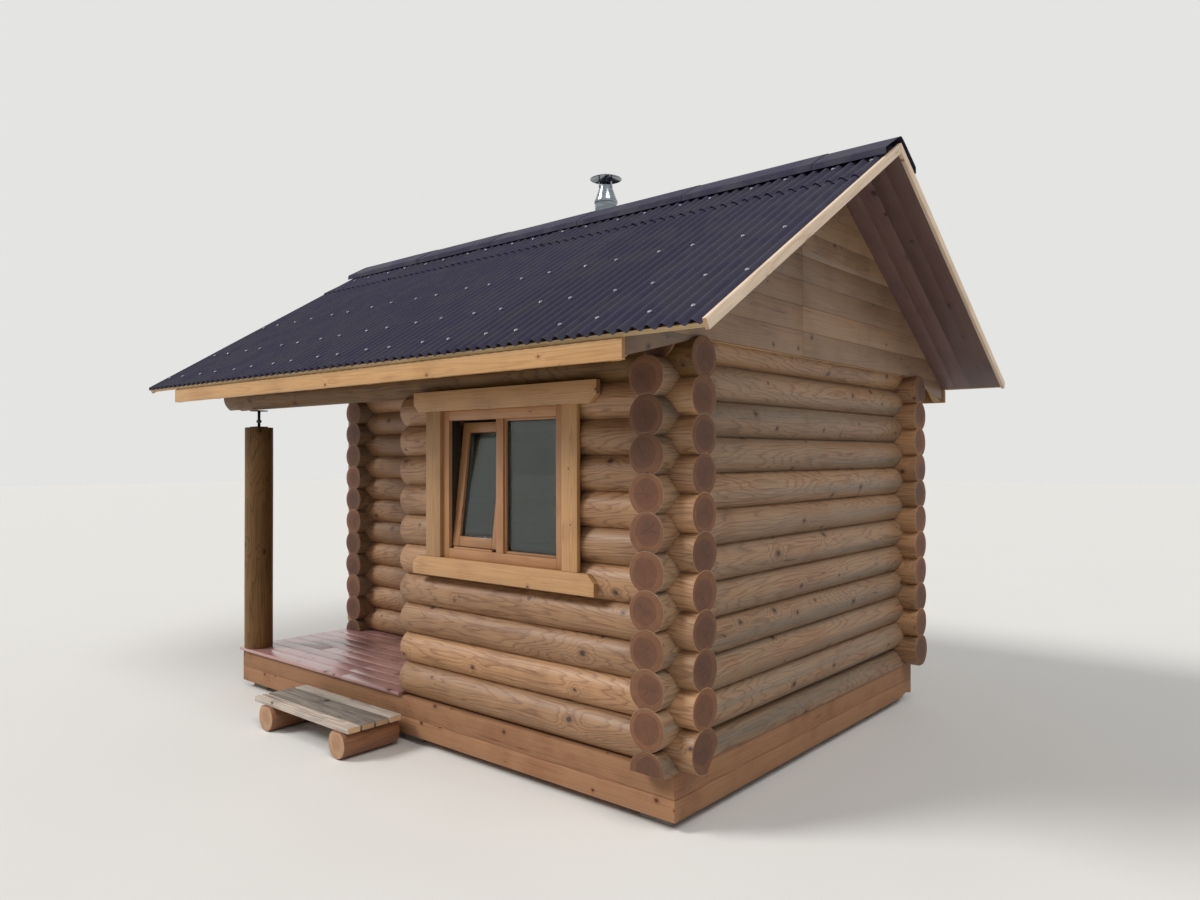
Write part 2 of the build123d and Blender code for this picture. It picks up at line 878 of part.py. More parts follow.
soffit_bottom = batten_thickness + soffit_thickness
soffit_length = (fascia_back_run - seat) / math.cos(pitch)
soffits = [
    slope_slab(x_from + seat, x_to - seat, batten_thickness, soffit_bottom, soffit_length)
    for x_from, x_to in ((batten_left, -cladding_outer_x), (cladding_outer_x, batten_right))
]
with BuildPart() as gable_soffits:
    add(soffits)
    mirror(about=Plane.XZ)
parts["gable_soffits"] = gable_soffits.part

right_verge = slope_slab(batten_right, roof_right, -verge_rise, soffit_bottom, slope_length)
left_verge = slope_slab(roof_left, batten_left, -verge_rise, soffit_bottom, slope_length)
with BuildPart() as right_verge_boards:
    add(right_verge)
    mirror(about=Plane.XZ)
parts["right_verge_boards"] = right_verge_boards.part

with BuildPart() as left_verge_boards:
    add(left_verge)
    mirror(about=Plane.XZ)
parts["left_verge_boards"] = left_verge_boards.part

fascia_left = -gable_outer_x
fascia_right = cladding_outer_x + fascia_past_right_cladding
with BuildPart() as eave_fascias:
    with BuildSketch(Plane.YZ.offset(fascia_left)):
        Polygon(
            (-eave_run, fascia_bottom),
            (-fascia_back_run, fascia_bottom),
            (-fascia_back_run, slope_height(fascia_back_run, batten_thickness) - seat),
            (-eave_run, slope_height(eave_run, batten_thickness) - seat),
            align=None,
        )
    extrude(amount=fascia_right - fascia_left)
    mirror(about=Plane.XZ)
parts["eave_fascias"] = eave_fascias.part

# Corrugated sheets in two rows a slope, the upper row lapped over the lower
sheets_left = batten_left + seat
sheets_right = batten_right - seat
wave_count = round((sheets_right - sheets_left) / sheet_wave)
wave = (sheets_right - sheets_left) / wave_count
lower_row_from = slope_length + sheet_eave_overhang - sheet_length
upper_row_to = lower_row_from + sheet_lap


def sheet_row(start, end, lift):
    """A row of corrugated sheet on the front slope, from start to end down from the ridge."""
    flat = sheet_flat_share / 2
    corners = ((flat, 0), (0.5 - flat, 1), (0.5 + flat, 1), (1 - flat, 0))
    line = [(sheets_left, lift)]
    for index in range(wave_count):
        for share, crest in corners:
            line.append((sheets_left + (index + share) * wave, lift + crest * sheet_wave_height))
    line.append((sheets_right, lift))
    top = [(x, y + sheet_thickness) for x, y in reversed(line)]
    with BuildPart() as row:
        with BuildSketch(down_front_slope.offset(start)):
            Polygon(*line, *top, align=None)
        extrude(amount=end - start)
    return row.part


sheet_rows = [
    sheet_row(lower_row_from, slope_length + sheet_eave_overhang, 0),
    sheet_row(sheet_ridge_gap, upper_row_to, sheet_thickness + seat),
]
with BuildPart() as front_roof_sheets:
    add(sheet_rows)
parts["front_roof_sheets"] = front_roof_sheets.part

with BuildPart() as back_roof_sheets:
    mirror(front_roof_sheets.part, about=Plane.XZ)
    with BuildSketch(Plane.XY.offset(apex)):
        with Locations((chimney_x, chimney_y)):
            Circle(pipe_diameter / 2 + pipe_hole_gap)
    extrude(amount=-apex, mode=Mode.SUBTRACT)
parts["back_roof_sheets"] = back_roof_sheets.part

cap_apex = apex + ridge_cap_rise
cap_edge = cap_apex - ridge_cap_drop
cap_lip_run = ridge_cap_run + ridge_cap_flare
cap_lip_bottom = slope_height(cap_lip_run - ridge_cap_thickness, -crest_height) + seat
cap_apex_thickness = ridge_cap_thickness * math.hypot(ridge_cap_run, ridge_cap_drop) / ridge_cap_run
with BuildPart() as ridge_cap:
    with BuildSketch(Plane.YZ.offset(roof_left)):
        Polygon(
            (0, cap_apex),
            (ridge_cap_run, cap_edge),
            (cap_lip_run, cap_lip_bottom),
            (cap_lip_run - ridge_cap_thickness, cap_lip_bottom),
            (ridge_cap_run - ridge_cap_thickness, cap_edge - ridge_cap_thickness),
            (0, cap_apex - cap_apex_thickness),
            (ridge_cap_thickness - ridge_cap_run, cap_edge - ridge_cap_thickness),
            (ridge_cap_thickness - cap_lip_run, cap_lip_bottom),
            (-cap_lip_run, cap_lip_bottom),
            (-ridge_cap_run, cap_edge),
            align=None,
        )
    extrude(amount=roof_right - roof_left)
parts["ridge_cap"] = ridge_cap.part

# Chimney
chimney_axis = Axis((chimney_x, chimney_y, 0), (0, 0, 1))
chimney_section = Plane(origin=(chimney_x, chimney_y, 0), x_dir=(1, 0, 0), z_dir=(0, -1, 0))
pipe_radius = pipe_diameter / 2
cone_top_radius = cone_top_diameter / 2
cone_bottom = apex + pipe_above_ridge
cone_top = cone_bottom + cone_height
pipe_bottom = apex - pipe_below_ridge

with BuildPart() as chimney_pipe:
    with BuildSketch(chimney_section):
        Polygon(
            (pipe_radius - pipe_wall, pipe_bottom),
            (pipe_radius, pipe_bottom),
            (pipe_radius, cone_bottom - band_height),
            (pipe_radius + band_step, cone_bottom - band_height),
            (pipe_radius + band_step, cone_bottom),
            (pipe_radius, cone_bottom),
            (cone_top_radius, cone_top),
            (cone_top_radius, cone_top + spigot_height),
            (cone_top_radius - pipe_wall, cone_top + spigot_height),
            (cone_top_radius - pipe_wall, cone_top),
            (pipe_radius - pipe_wall, cone_bottom),
            align=None,
        )
    revolve(axis=chimney_axis)
parts["chimney_pipe"] = chimney_pipe.part

cowl_radius = cowl_diameter / 2
cowl_rim = cone_top + spigot_height + cowl_gap
strut_radius = cone_top_radius + seat + strut_thickness / 2
strut_bottom = cone_top + spigot_height - strut_foot
strut_top = cowl_rim + (cowl_height - cowl_sheet) * (1 - strut_radius / cowl_radius) + cowl_sheet / 2
with BuildPart() as chimney_cowl:
    with BuildSketch(chimney_section):
        Polygon(
            (0, cowl_rim + cowl_height),
            (cowl_radius, cowl_rim + cowl_sheet),
            (cowl_radius, cowl_rim),
            (0, cowl_rim + cowl_height - cowl_sheet),
            align=None,
        )
    revolve(axis=chimney_axis)
    with BuildSketch(Plane.XY.offset(strut_bottom)):
        with Locations((chimney_x, chimney_y)):
            with PolarLocations(strut_radius, strut_count):
                Rectangle(strut_thickness, strut_width)
    extrude(amount=strut_top - strut_bottom)
parts["chimney_cowl"] = chimney_cowl.part

flashing_plane = back_slope.offset(crest_height + seat)
flashing_down = -chimney_y / math.cos(pitch)
collar_top = slope_height(chimney_y, -crest_height) + collar_height
with BuildPart() as chimney_flashing:
    with BuildSketch(Plane.XY.offset(collar_top)):
        with Locations((chimney_x, chimney_y)):
            Circle(pipe_radius + seat + pipe_wall)
    extrude(amount=-flashing_side)
    split(bisect_by=flashing_plane, keep=Keep.TOP)
    with BuildSketch(flashing_plane):
        with Locations((chimney_x, -flashing_down)):
            Rectangle(flashing_side, flashing_side)
    extrude(amount=flashing_thickness)
    with BuildSketch(Plane.XY.offset(collar_top)):
        with Locations((chimney_x, chimney_y)):
            Circle(pipe_radius + seat)
    extrude(amount=-apex, mode=Mode.SUBTRACT)
parts["chimney_flashing"] = chimney_flashing.part

# Step in front of the porch
tread_front = front_face - step_reach
tread_pitch = tread_width + tread_gap
leg_top = step_height - tread_thickness
step_left = step_centre_x - step_length / 2
step_right = step_centre_x + step_length / 2
with BuildPart() as step_treads:
    with BuildSketch(Plane.XY.offset(leg_top)):
        for tread in range(tread_count):
            with Locations((step_centre_x, tread_front + tread * tread_pitch + tread_width / 2)):
                Rectangle(step_length, tread_width)
    extrude(amount=tread_thickness)
parts["step_treads"] = step_treads.part

leg_front = tread_front - leg_front_past_tread
with BuildPart() as step_legs:
    with BuildSketch(Plane.XZ.offset(-leg_front)):
        with Locations(
            (step_left + left_leg_inset, leg_diameter / 2), (step_right - right_leg_inset, leg_diameter / 2)
        ):
            Circle(leg_diameter / 2)
    extrude(amount=-leg_length)
    split(bisect_by=Plane.XY.offset(leg_top), keep=Keep.BOTTOM)
parts["step_legs"] = step_legs.part

os.makedirs("parts", exist_ok=True)
for name, part in parts.items():
    part.label = name
    export_step(part, f"parts/{name}.step")
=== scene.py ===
"""A round-log sauna with a corner porch: the finish of every surface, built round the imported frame.

Each class makes one sub-assembly. Its pieces are outlines carried along a run or pairs of
grids, worked out in numpy, and take their places from the frame's nodes. Lengths are in metres.
"""

from __future__ import annotations

import json
import logging
import math
from dataclasses import dataclass, field, replace
from enum import Enum
from functools import partial
from typing import Any, Callable, Sequence

import bpy
import numpy as np
from mathutils import Matrix, Vector

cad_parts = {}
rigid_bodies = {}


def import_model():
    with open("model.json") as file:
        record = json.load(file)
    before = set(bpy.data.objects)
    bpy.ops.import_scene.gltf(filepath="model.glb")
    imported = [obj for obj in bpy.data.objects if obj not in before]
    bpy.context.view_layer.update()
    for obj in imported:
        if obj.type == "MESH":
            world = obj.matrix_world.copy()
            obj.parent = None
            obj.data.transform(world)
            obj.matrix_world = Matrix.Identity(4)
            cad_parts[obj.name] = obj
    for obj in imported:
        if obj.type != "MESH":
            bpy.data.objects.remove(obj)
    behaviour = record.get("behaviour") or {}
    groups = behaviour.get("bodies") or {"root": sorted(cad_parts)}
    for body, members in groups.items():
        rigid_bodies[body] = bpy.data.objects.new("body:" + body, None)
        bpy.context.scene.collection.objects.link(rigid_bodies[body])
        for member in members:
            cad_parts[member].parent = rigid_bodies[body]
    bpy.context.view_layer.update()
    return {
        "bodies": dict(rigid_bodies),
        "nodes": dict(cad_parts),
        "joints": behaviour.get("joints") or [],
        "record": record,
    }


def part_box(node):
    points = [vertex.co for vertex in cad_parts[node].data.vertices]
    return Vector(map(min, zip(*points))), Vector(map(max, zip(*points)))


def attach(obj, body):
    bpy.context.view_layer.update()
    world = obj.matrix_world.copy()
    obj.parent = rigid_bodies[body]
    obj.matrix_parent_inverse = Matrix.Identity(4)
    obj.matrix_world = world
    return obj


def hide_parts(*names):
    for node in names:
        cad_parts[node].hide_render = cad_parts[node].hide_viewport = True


LOG = logging.getLogger("log_sauna")
MM = 0.001
ROOF_PITCH = math.radians(31.7)
PITCH_SINE = math.sin(ROOF_PITCH)
PITCH_COSINE = math.cos(ROOF_PITCH)
PITCH_TANGENT = math.tan(ROOF_PITCH)
SHARP_ANGLE = math.radians(34)
# Corners of a solid's triangles that lie this close are one corner.
WELD = 0.05 * MM
# How far two pieces that touch are kept apart.
FIT = 0.3 * MM
# The stations of a piece that is too short to bend.
SHORT_RUN = np.array((0, 0.5, 1))
# A map from one span of values to another with soft ends.
SOFT = {"interpolation_type": "SMOOTHSTEP"}
# Adds a node to a material, as add_node does.
Adder = Callable[..., Any]
Pair = tuple[float, float]
Triple = tuple[float, float, float]


class Along(Enum):
    """The direction that a piece runs in, as width, height and length directions."""

    X = ((0, 1, 0), (0, 0, 1), (1, 0, 0))
    Y = ((-1, 0, 0), (0, 0, 1), (0, 1, 0))
    Z = ((1, 0, 0), (0, 1, 0), (0, 0, 1))

    @property
    def axis(self) -> int:
        """The number of the coordinate that it runs along."""
        return self.value[2].index(1)


class Slope(Enum):
    """A roof slope, as the sign of Y that it falls towards."""

    FRONT = -1
    BACK = 1


@dataclass(frozen=True)
class Box:
    """A node's or a solid's bounding box."""

    low: np.ndarray
    high: np.ndarray

    @property
    def size(self) -> np.ndarray:
        """Length of each side."""
        return self.high - self.low

    @property
    def middle(self) -> np.ndarray:
        """Centre of the box."""
        return (self.high + self.low) / 2

    @property
    def slope(self) -> Slope:
        """The roof slope that the box is on."""
        return Slope.FRONT if self.middle[1] < 0 else Slope.BACK


@dataclass(frozen=True)
class Place:
    """Where a piece lies: its origin and its width, height and length directions."""

    origin: np.ndarray
    width: np.ndarray
    height: np.ndarray
    length: np.ndarray

    @staticmethod
    def along(way: Along, origin: Sequence[float]) -> Place:
        """A place whose length follows one of the main directions."""
        return Place(np.array(origin, float), *[np.array(axis, float) for axis in way.value])

    @staticmethod
    def through(way: Along, box: Box) -> Place:
        """A place along a box's middle line, whose length is the coordinate itself."""
        return Place.along(way, np.where(np.arange(3) == way.axis, 0, box.middle))

    @staticmethod
    def down_slope(slope: Slope, x: float, apex: float, depth: float) -> Place:
        """A place that starts at the ridge and runs down a slope, depth under the battens' top."""
        out = np.array((0, slope.value * PITCH_SINE, PITCH_COSINE))
        down = np.array((0, slope.value * PITCH_COSINE, -PITCH_SINE))
        origin = np.array((x, 0, apex)) - out * depth
        return Place(origin, np.cross(out, down), out, down)

    def points(self, width: Any, height: Any, length: Any) -> np.ndarray:
        """Turns widths, heights and lengths into points: origin + w * width + h * height + l * length."""
        widths, heights, lengths = np.broadcast_arrays(width, height, length)
        return (
            self.origin
            + widths[..., None] * self.width
            + heights[..., None] * self.height
            + lengths[..., None] * self.length
        )

    def moved(self, width: float, height: float, length: float) -> Place:
        """The same directions from another origin."""
        return Place(self.points(width, height, length), self.width, self.height, self.length)

    def outwards(self, length: float) -> Place:
        """The place at a length whose own length is this one's height."""
        return Place(self.points(0.0, 0.0, length), self.length, self.width, self.height)


@dataclass(frozen=True)
class Cut:
    """An end face: its place along the run and how it leans with the width and the height."""

    at: float
    per_width: float = 0.0
    per_height: float = 0.0

    def reach(self, flat: np.ndarray) -> np.ndarray:
        """Where the cut meets the run through each outline point."""
        return self.at + self.per_width * flat[..., 0] + self.per_height * flat[..., 1]


@dataclass(frozen=True)
class Plane2:
    """A straight cut along a log: what lies further than distance along the normal is gone."""

    normal: Pair
    distance: float


@dataclass(frozen=True)
class Ends:
    """How a swept piece ends: its two cuts and the width of the eased edge."""

    start: Cut
    end: Cut
    ease: float = 2 * MM


@dataclass
class Shell:
    """Vertices, faces and surface attributes of one piece, gathered before they become a mesh."""

    name: str
    points: list[np.ndarray] = field(default_factory=list)
    grain: list[np.ndarray] = field(default_factory=list)
    skin: list[np.ndarray] = field(default_factory=list)
    tone: list[np.ndarray] = field(default_factory=list)
    corners: list[np.ndarray] = field(default_factory=list)
    sides: list[np.ndarray] = field(default_factory=list)
    finish: list[np.ndarray] = field(default_factory=list)
    count: int = 0

    def add(
        self,
        points: np.ndarray,
        faces: Sequence[np.ndarray],
        finishes: Sequence[int],
        grain: np.ndarray | None = None,
        skin: Sequence[np.ndarray] | None = None,
        tone: float = 0.5,
    ) -> None:
        """Adds vertices and blocks of faces.

        Args:
            points: vertex places, one row each.
            faces: blocks of vertex indices, each block with one number of corners.
            finishes: the material index of each block.
            grain: where each vertex lies in its tree, or None for its own place.
            skin: for each block, the distance round and along the surface at each corner.
            tone: how light the piece is among its like, from 0 to 1.
        """
        self.points.append(points)
        self.grain.append(points if grain is None else grain)
        self.tone.append(np.full(len(points), tone))
        for number, (block, finish) in enumerate(zip(faces, finishes)):
            self.corners.append((block + self.count).ravel())
            self.sides.append(np.full(len(block), block.shape[1]))
            self.finish.append(np.full(len(block), finish))
            self.skin.append(points[block.ravel()] if skin is None else skin[number].reshape(-1, 3))
        self.count += len(points)

    def sweep(
        self,
        place: Place,
        outline: np.ndarray,
        ends: Ends,
        stations: np.ndarray,
        random: np.random.Generator,
        pith: Pair = (0.0, 0.0),
        wobble: float = 0.0,
        tone: float | None = None,
        finishes: tuple[int, int] = (0, 1),
    ) -> None:
        """Carries a closed outline along a run and closes both ends.

        A point is origin + u * width + v * height + w * length, where (u, v) is the outline's
        point and w goes from the start cut to the end cut with the station. At each end the
        outline shrinks in rings to a pole, and the first ring makes the eased edge.

        Args:
            place: the run's origin and directions.
            outline: points (N, 2), anticlockwise, or (S, N, 2) with an outline for each station.
            ends: the end faces.
            stations: shares of the run from 0 to 1, rising.
            random: the source of the tree's place, the bow and the tone.
            pith: the outline's origin as seen from the middle of the tree.
            wobble: how far the surface strays from true.
            tone: a fixed tone, or None for a random one.
            finishes: the material indices of the sides and of the ends.
        """
        shapes = np.broadcast_to(outline, (len(stations), *outline.shape[-2:]))
        centre = shapes.mean(axis=1, keepdims=True)
        half = np.abs(shapes - centre).max(axis=(0, 1))
        phase = random.uniform(0, math.tau, 4)
        lengths = stations * abs(ends.end.at - ends.start.at)
        sway = np.stack((np.sin(lengths * 2.1 + phase[0]), np.sin(lengths * 1.7 + phase[1])), axis=-1)
        angle = np.linspace(0, math.tau, shapes.shape[1], endpoint=False)
        dent = np.sin(3 * angle[None] + lengths[:, None] * 3.3 + phase[2])
        dent = dent + np.sin(5 * angle[None] - lengths[:, None] * 5.1 + phase[3])
        swell = 1 + wobble * dent[..., None] / (2 * half.min())
        shapes = centre + (shapes - centre) * swell + wobble * sway[:, None]
        last = len(stations) - 1
        ease = ends.ease
        # Each ring's station, share of the outline, inset and shift along the run.
        plan = [(0, scale, ease, 0.0) for scale in (0.02, 0.4, 0.75, 1.0)]
        plan += [(0, 1.0, 0.35 * ease, 0.25 * ease), (0, 1.0, 0.0, ease)]
        plan += [(station, 1.0, 0.0, 0.0) for station in range(1, last)]
        plan += [(last, 1.0, 0.0, -ease), (last, 1.0, 0.35 * ease, -0.25 * ease)]
        plan += [(last, scale, ease, 0.0) for scale in (1.0, 0.75, 0.4, 0.02)]
        station, scale, inset, shift = (np.array(column) for column in zip(*plan))
        shrink = scale[:, None] * np.maximum(1 - inset[:, None] / half, 0.05)
        flat = centre[station] + (shapes[station] - centre[station]) * shrink[:, None]
        start, end = ends.start.reach(flat), ends.end.reach(flat)
        along = start + stations[station][:, None] * (end - start) + shift[:, None]
        levels, around = along.shape
        points = place.points(flat[..., 0], flat[..., 1], along).reshape(-1, 3)
        drift = random.uniform(0, 30)
        grain = np.concatenate((flat + np.array(pith), along[..., None] + drift), axis=-1)
        step = np.linalg.norm(np.roll(shapes[0], -1, axis=0) - shapes[0], axis=1)
        round_way = np.concatenate(([0], np.cumsum(step))) + random.uniform(0, 20)
        row = np.arange(levels - 1)[:, None, None] + np.array((0, 0, 1, 1))
        column = np.arange(around)[None, :, None] + np.array((0, 1, 1, 0))
        quads = row * around + column % around
        skin = (round_way[column + 0 * row], along[row, column % around] + drift, 0.0 * quads)
        skin = np.stack(skin, axis=-1)
        first = np.arange(around)[None, ::-1]
        final = np.arange(around)[None] + (levels - 1) * around
        flat_skin = np.zeros((1, around, 3))
        parts = (slice(None, 3), slice(3, -3), slice(-3, None))
        self.add(
            points,
            (*[quads[part].reshape(-1, 4) for part in parts], first, final),
            (finishes[1], finishes[0], finishes[1], finishes[1], finishes[1]),
            grain.reshape(-1, 3),
            (*[skin[part] for part in parts], flat_skin, flat_skin),
            random.uniform() if tone is None else tone,
        )

    def board(
        self,
        place: Place,
        size: Sequence[float],
        start: Cut | float,
        end: Cut | float,
        random: np.random.Generator,
        edge: float = 2.5 * MM,
        tone: float | None = None,
        finishes: tuple[int, int] = (0, 1),
    ) -> None:
        """A planed board: a rectangle of width and height with rounded corners, along its length.

        Args:
            place: the run's origin and directions.
            size: its width and height.
            start: where it starts, square or by a leaning cut.
            end: where it ends.
            random: the source of its place in the tree and the tone.
            edge: the radius of its corners.
            tone: as in sweep.
            finishes: as in sweep.
        """
        width, height = size
        flat_sawn = random.uniform(0.05, 0.13) * random.choice((-1, 1))
        off_centre = random.uniform(-0.03, 0.03)
        pith = (off_centre, flat_sawn) if width > height else (flat_sawn, off_centre)
        first = start if isinstance(start, Cut) else Cut(start)
        last = end if isinstance(end, Cut) else Cut(end)
        outline = rectangle(width, height, edge)
        stations = np.linspace(0, 1, max(3, int(abs(last.at - first.at) / 0.35) + 2))
        ends = Ends(first, last, edge * 0.7)
        self.sweep(place, outline, ends, stations, random, pith, tone=tone, finishes=finishes)

    def turn(self, place: Place, profile: Any, sides: int, closed: bool = False, finish: int = 0) -> None:
        """Turns a (radius, length) profile about the place's length: r cos a, r sin a, l.

        Args:
            place: the axis and its directions.
            profile: the section's corners (P, 2), anticlockwise with the radius to the right, or
                (P, sides, 2) with a section for each step of the turn.
            sides: how many steps there are in the turn.
            closed: whether the profile is a ring's section, and otherwise its ends are capped.
            finish: the material index.
        """
        section = np.array(profile, float)
        section = section[:, None] if section.ndim == 2 else section
        angle = np.linspace(0, math.tau, sides, endpoint=False)
        radius, length = section[..., 0], section[..., 1]
        points = place.points(radius * np.cos(angle), radius * np.sin(angle), length).reshape(-1, 3)
        rows = len(section) if closed else len(section) - 1
        row = np.arange(rows)[:, None, None] + np.array((0, 0, 1, 1))
        column = np.arange(sides)[None, :, None] + np.array((0, 1, 1, 0))
        quads = ((row % len(section)) * sides + column % sides).reshape(-1, 4)
        caps = (np.arange(sides)[None, ::-1], np.arange(sides)[None] + (len(section) - 1) * sides)
        faces = (quads,) if closed else (quads, *caps)
        self.add(points, faces, (finish,) * len(faces))

    def slab(
        self, top: np.ndarray, bottom: np.ndarray, tone: float = 0.5, keep: np.ndarray | None = None
    ) -> None:
        """Closes the space between two grids of points.

        Args:
            top: points (rows, columns, 3); the rows' way times the columns' way faces outwards.
            bottom: the points under them.
            tone: as in add.
            keep: which of the grid's cells there are, or None for all of them.
        """
        rows, columns = top.shape[:2]
        drop = rows * columns
        index = np.arange(drop).reshape(rows, columns)
        keep = np.ones((rows - 1, columns - 1), bool) if keep is None else keep
        cell = np.stack((index[:-1, :-1], index[1:, :-1], index[1:, 1:], index[:-1, 1:]), axis=-1)
        padded = np.pad(keep, 1)
        beside = (padded[1:-1, :-2], padded[2:, 1:-1], padded[1:-1, 2:], padded[:-2, 1:-1])
        walls = []
        for side, neighbour in enumerate(beside):
            rim = cell[keep & ~neighbour]
            first, last = rim[:, side], rim[:, (side + 1) % 4]
            walls.append(np.stack((last, first, first + drop, last + drop), axis=-1))
        faces = (cell[keep], cell[keep][:, ::-1] + drop, np.concatenate(walls))
        used = np.unique(np.concatenate([block.ravel() for block in faces]))
        order = np.zeros(2 * drop, int)
        order[used] = np.arange(len(used))
        points = np.concatenate((top.reshape(-1, 3), bottom.reshape(-1, 3)))[used]
        self.add(points, [order[block] for block in faces], (0, 0, 0), tone=tone)

    def build(self, slot: str, materials: Sequence[bpy.types.Material], *nodes: str) -> bpy.types.Object:
        """Makes the mesh object, dresses it and lets it stand for CAD nodes.

        Args:
            slot: the record's material slot.
            materials: the materials, in the order of the finish numbers.
            nodes: the CAD nodes that this piece replaces.

        Returns:
            The new object, at the origin, riding on the building.
        """
        corners = np.concatenate(self.corners).astype(np.int32)
        sides = np.concatenate(self.sides).astype(np.int32)
        starts = np.concatenate(([0], np.cumsum(sides)[:-1])).astype(np.int32)
        mesh = bpy.data.meshes.new(self.name)
        mesh.vertices.add(self.count)
        mesh.vertices.foreach_set("co", np.concatenate(self.points).astype(np.float32).ravel())
        mesh.loops.add(len(corners))
        mesh.loops.foreach_set("vertex_index", corners)
        mesh.polygons.add(len(sides))
        mesh.polygons.foreach_set("loop_start", starts)
        mesh.polygons.foreach_set("material_index", np.concatenate(self.finish).astype(np.int32))
        mesh.polygons.foreach_set("use_smooth", np.ones(len(sides), bool))
        mesh.update(calc_edges=True)
        grain = mesh.attributes.new("grain", "FLOAT_VECTOR", "POINT")
        grain.data.foreach_set("vector", np.concatenate(self.grain).astype(np.float32).ravel())
        skin = mesh.attributes.new("skin", "FLOAT_VECTOR", "CORNER")
        skin.data.foreach_set("vector", np.concatenate(self.skin).astype(np.float32).ravel())
        tone = mesh.attributes.new("tone", "FLOAT", "POINT")
        tone.data.foreach_set("value", np.concatenate(self.tone).astype(np.float32))
        mesh.set_sharp_from_angle(angle=SHARP_ANGLE)
        for material in materials:
            mesh.materials.append(material)
        piece = bpy.data.objects.new(self.name, mesh)
        bpy.context.scene.collection.objects.link(piece)
        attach(piece, "root")
        if nodes:
            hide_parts(*nodes)
        LOG.info("%s: %d vertices, %d faces", self.name, self.count, len(sides))
        return piece


def rounded_polygon(corners: Any, radius: float) -> np.ndarray:
    """A convex polygon with three points at each corner.

    The outer two lie one radius along the edges, and the one between them is half the corner
    and a quarter of each of them.

    Args:
        corners: its corners, anticlockwise.
        radius: how far along the edges each corner is rounded.

    Returns:
        Points (3 x corners, 2).
    """
    corner = np.array(corners, float)
    before = np.roll(corner, 1, axis=0) - corner
    after = np.roll(corner, -1, axis=0) - corner
    first = corner + before / np.linalg.norm(before, axis=1, keepdims=True) * radius
    last = corner + after / np.linalg.norm(after, axis=1, keepdims=True) * radius
    return np.stack((first, (first + 2 * corner + last) / 4, last), axis=1).reshape(-1, 2)


def rectangle(width: float, height: float, radius: float) -> np.ndarray:
    """A rounded rectangle about the origin."""
    x, y = width / 2, height / 2
    return rounded_polygon(((-x, -y), (x, -y), (x, y), (-x, y)), radius)


def upright_band(thick: float, low: float, high: float, radius: float) -> np.ndarray:
    """A rounded section, thick across the origin, between two levels."""
    half = thick / 2
    return rounded_polygon(((-half, low), (half, low), (half, high), (-half, high)), radius)


def log_sections(
    radius: float, below: Pair | None, cuts: Sequence[Sequence[Plane2]], inside: float = 0.0, turns: int = 48
) -> np.ndarray:
    """The outlines of a log at its stations, about its middle.

    From one point inside the log, the distance along an angle is the least of the ways to the
    log's circle, to the circle of the log below and to each straight cut. The angles at which
    two of them meet are among the angles.

    Args:
        radius: the log's radius.
        below: how far down the log below lies, and the radius of the groove over it.
        cuts: the straight cuts at each station.
        inside: the height of the inner point over the log's middle.
        turns: how many even angles there are.

    Returns:
        Points (stations, angles, 2).
    """
    corners = []
    drop, groove = below or (0.0, 0.0)
    if below:
        height = (drop**2 + radius**2 - groove**2) / (2 * drop)
        half = math.sqrt(max(radius**2 - height**2, 0))
        corners += [(half, -height), (-half, -height)]
    for plane in sorted({plane for row in cuts for plane in row}, key=lambda plane: plane.distance):
        side = math.sqrt(max(radius**2 - plane.distance**2, 0))
        x, y = (plane.distance * part for part in plane.normal)
        corners += [(x - side * plane.normal[1], y + side * plane.normal[0])]
        corners += [(x + side * plane.normal[1], y - side * plane.normal[0])]
    exact = [math.atan2(y - inside, x) % math.tau for x, y in corners]
    angles = np.concatenate((np.linspace(0, math.tau, turns, endpoint=False), exact))
    angles = np.unique(np.round(angles, 5))
    way = np.stack((np.cos(angles), np.sin(angles)), axis=-1)
    rise = inside * way[:, 1]
    reach = np.sqrt(rise**2 + radius**2 - inside**2) - rise
    if below:
        towards = -way[:, 1] * (drop + inside)
        gap = towards**2 - (drop + inside) ** 2 + groove**2
        near = towards - np.sqrt(np.maximum(gap, 0))
        reach = np.where((gap > 0) & (near > 0), np.minimum(reach, near), reach)
    rows = []
    for row in cuts:
        distance = reach
        for plane in row:
            closing = np.maximum(way @ np.array(plane.normal), 1e-6)
            distance = np.minimum(distance, (plane.distance - inside * plane.normal[1]) / closing)
        rows.append(way * distance[:, None] + (0, inside))
    return np.stack(rows)


def node_box(node: str) -> Box:
    """The bounding box of a CAD node."""
    low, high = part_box(node)
    return Box(np.array(low, float), np.array(high, float))


def solids_of(node: bpy.types.Object) -> list[Box]:
    """The boxes of a node's separate solids.

    Triangles that share a corner belong together: each corner takes the smallest label among
    its triangles' corners until nothing changes.

    Args:
        node: the CAD node.

    Returns:
        The boxes, from the lowest up.
    """
    mesh = node.data
    places = np.empty(len(mesh.vertices) * 3, np.float32)
    mesh.vertices.foreach_get("co", places)
    places = places.reshape(-1, 3)
    mesh.calc_loop_triangles()
    triangles = np.empty(len(mesh.loop_triangles) * 3, np.int32)
    mesh.loop_triangles.foreach_get("vertices", triangles)
    grid = np.round(places / WELD).astype(np.int64)
    welded, spot_of = np.unique(grid, axis=0, return_inverse=True)
    spot_of = spot_of.ravel()
    triangles = spot_of[triangles].reshape(-1, 3)
    label = np.arange(len(welded))
    changed = True
    while changed:
        before = label.copy()
        smallest = label[triangles].min(axis=1)
        for corner in range(3):
            np.minimum.at(label, triangles[:, corner], smallest)
        label = label[label]
        changed = not np.array_equal(before, label)
    marks = label[spot_of]
    places = places.astype(float)
    boxes = [Box(places[marks == mark].min(0), places[marks == mark].max(0)) for mark in np.unique(marks)]
    return sorted(boxes, key=lambda box: tuple(np.round(box.low[[2, 0, 1]], 3)))


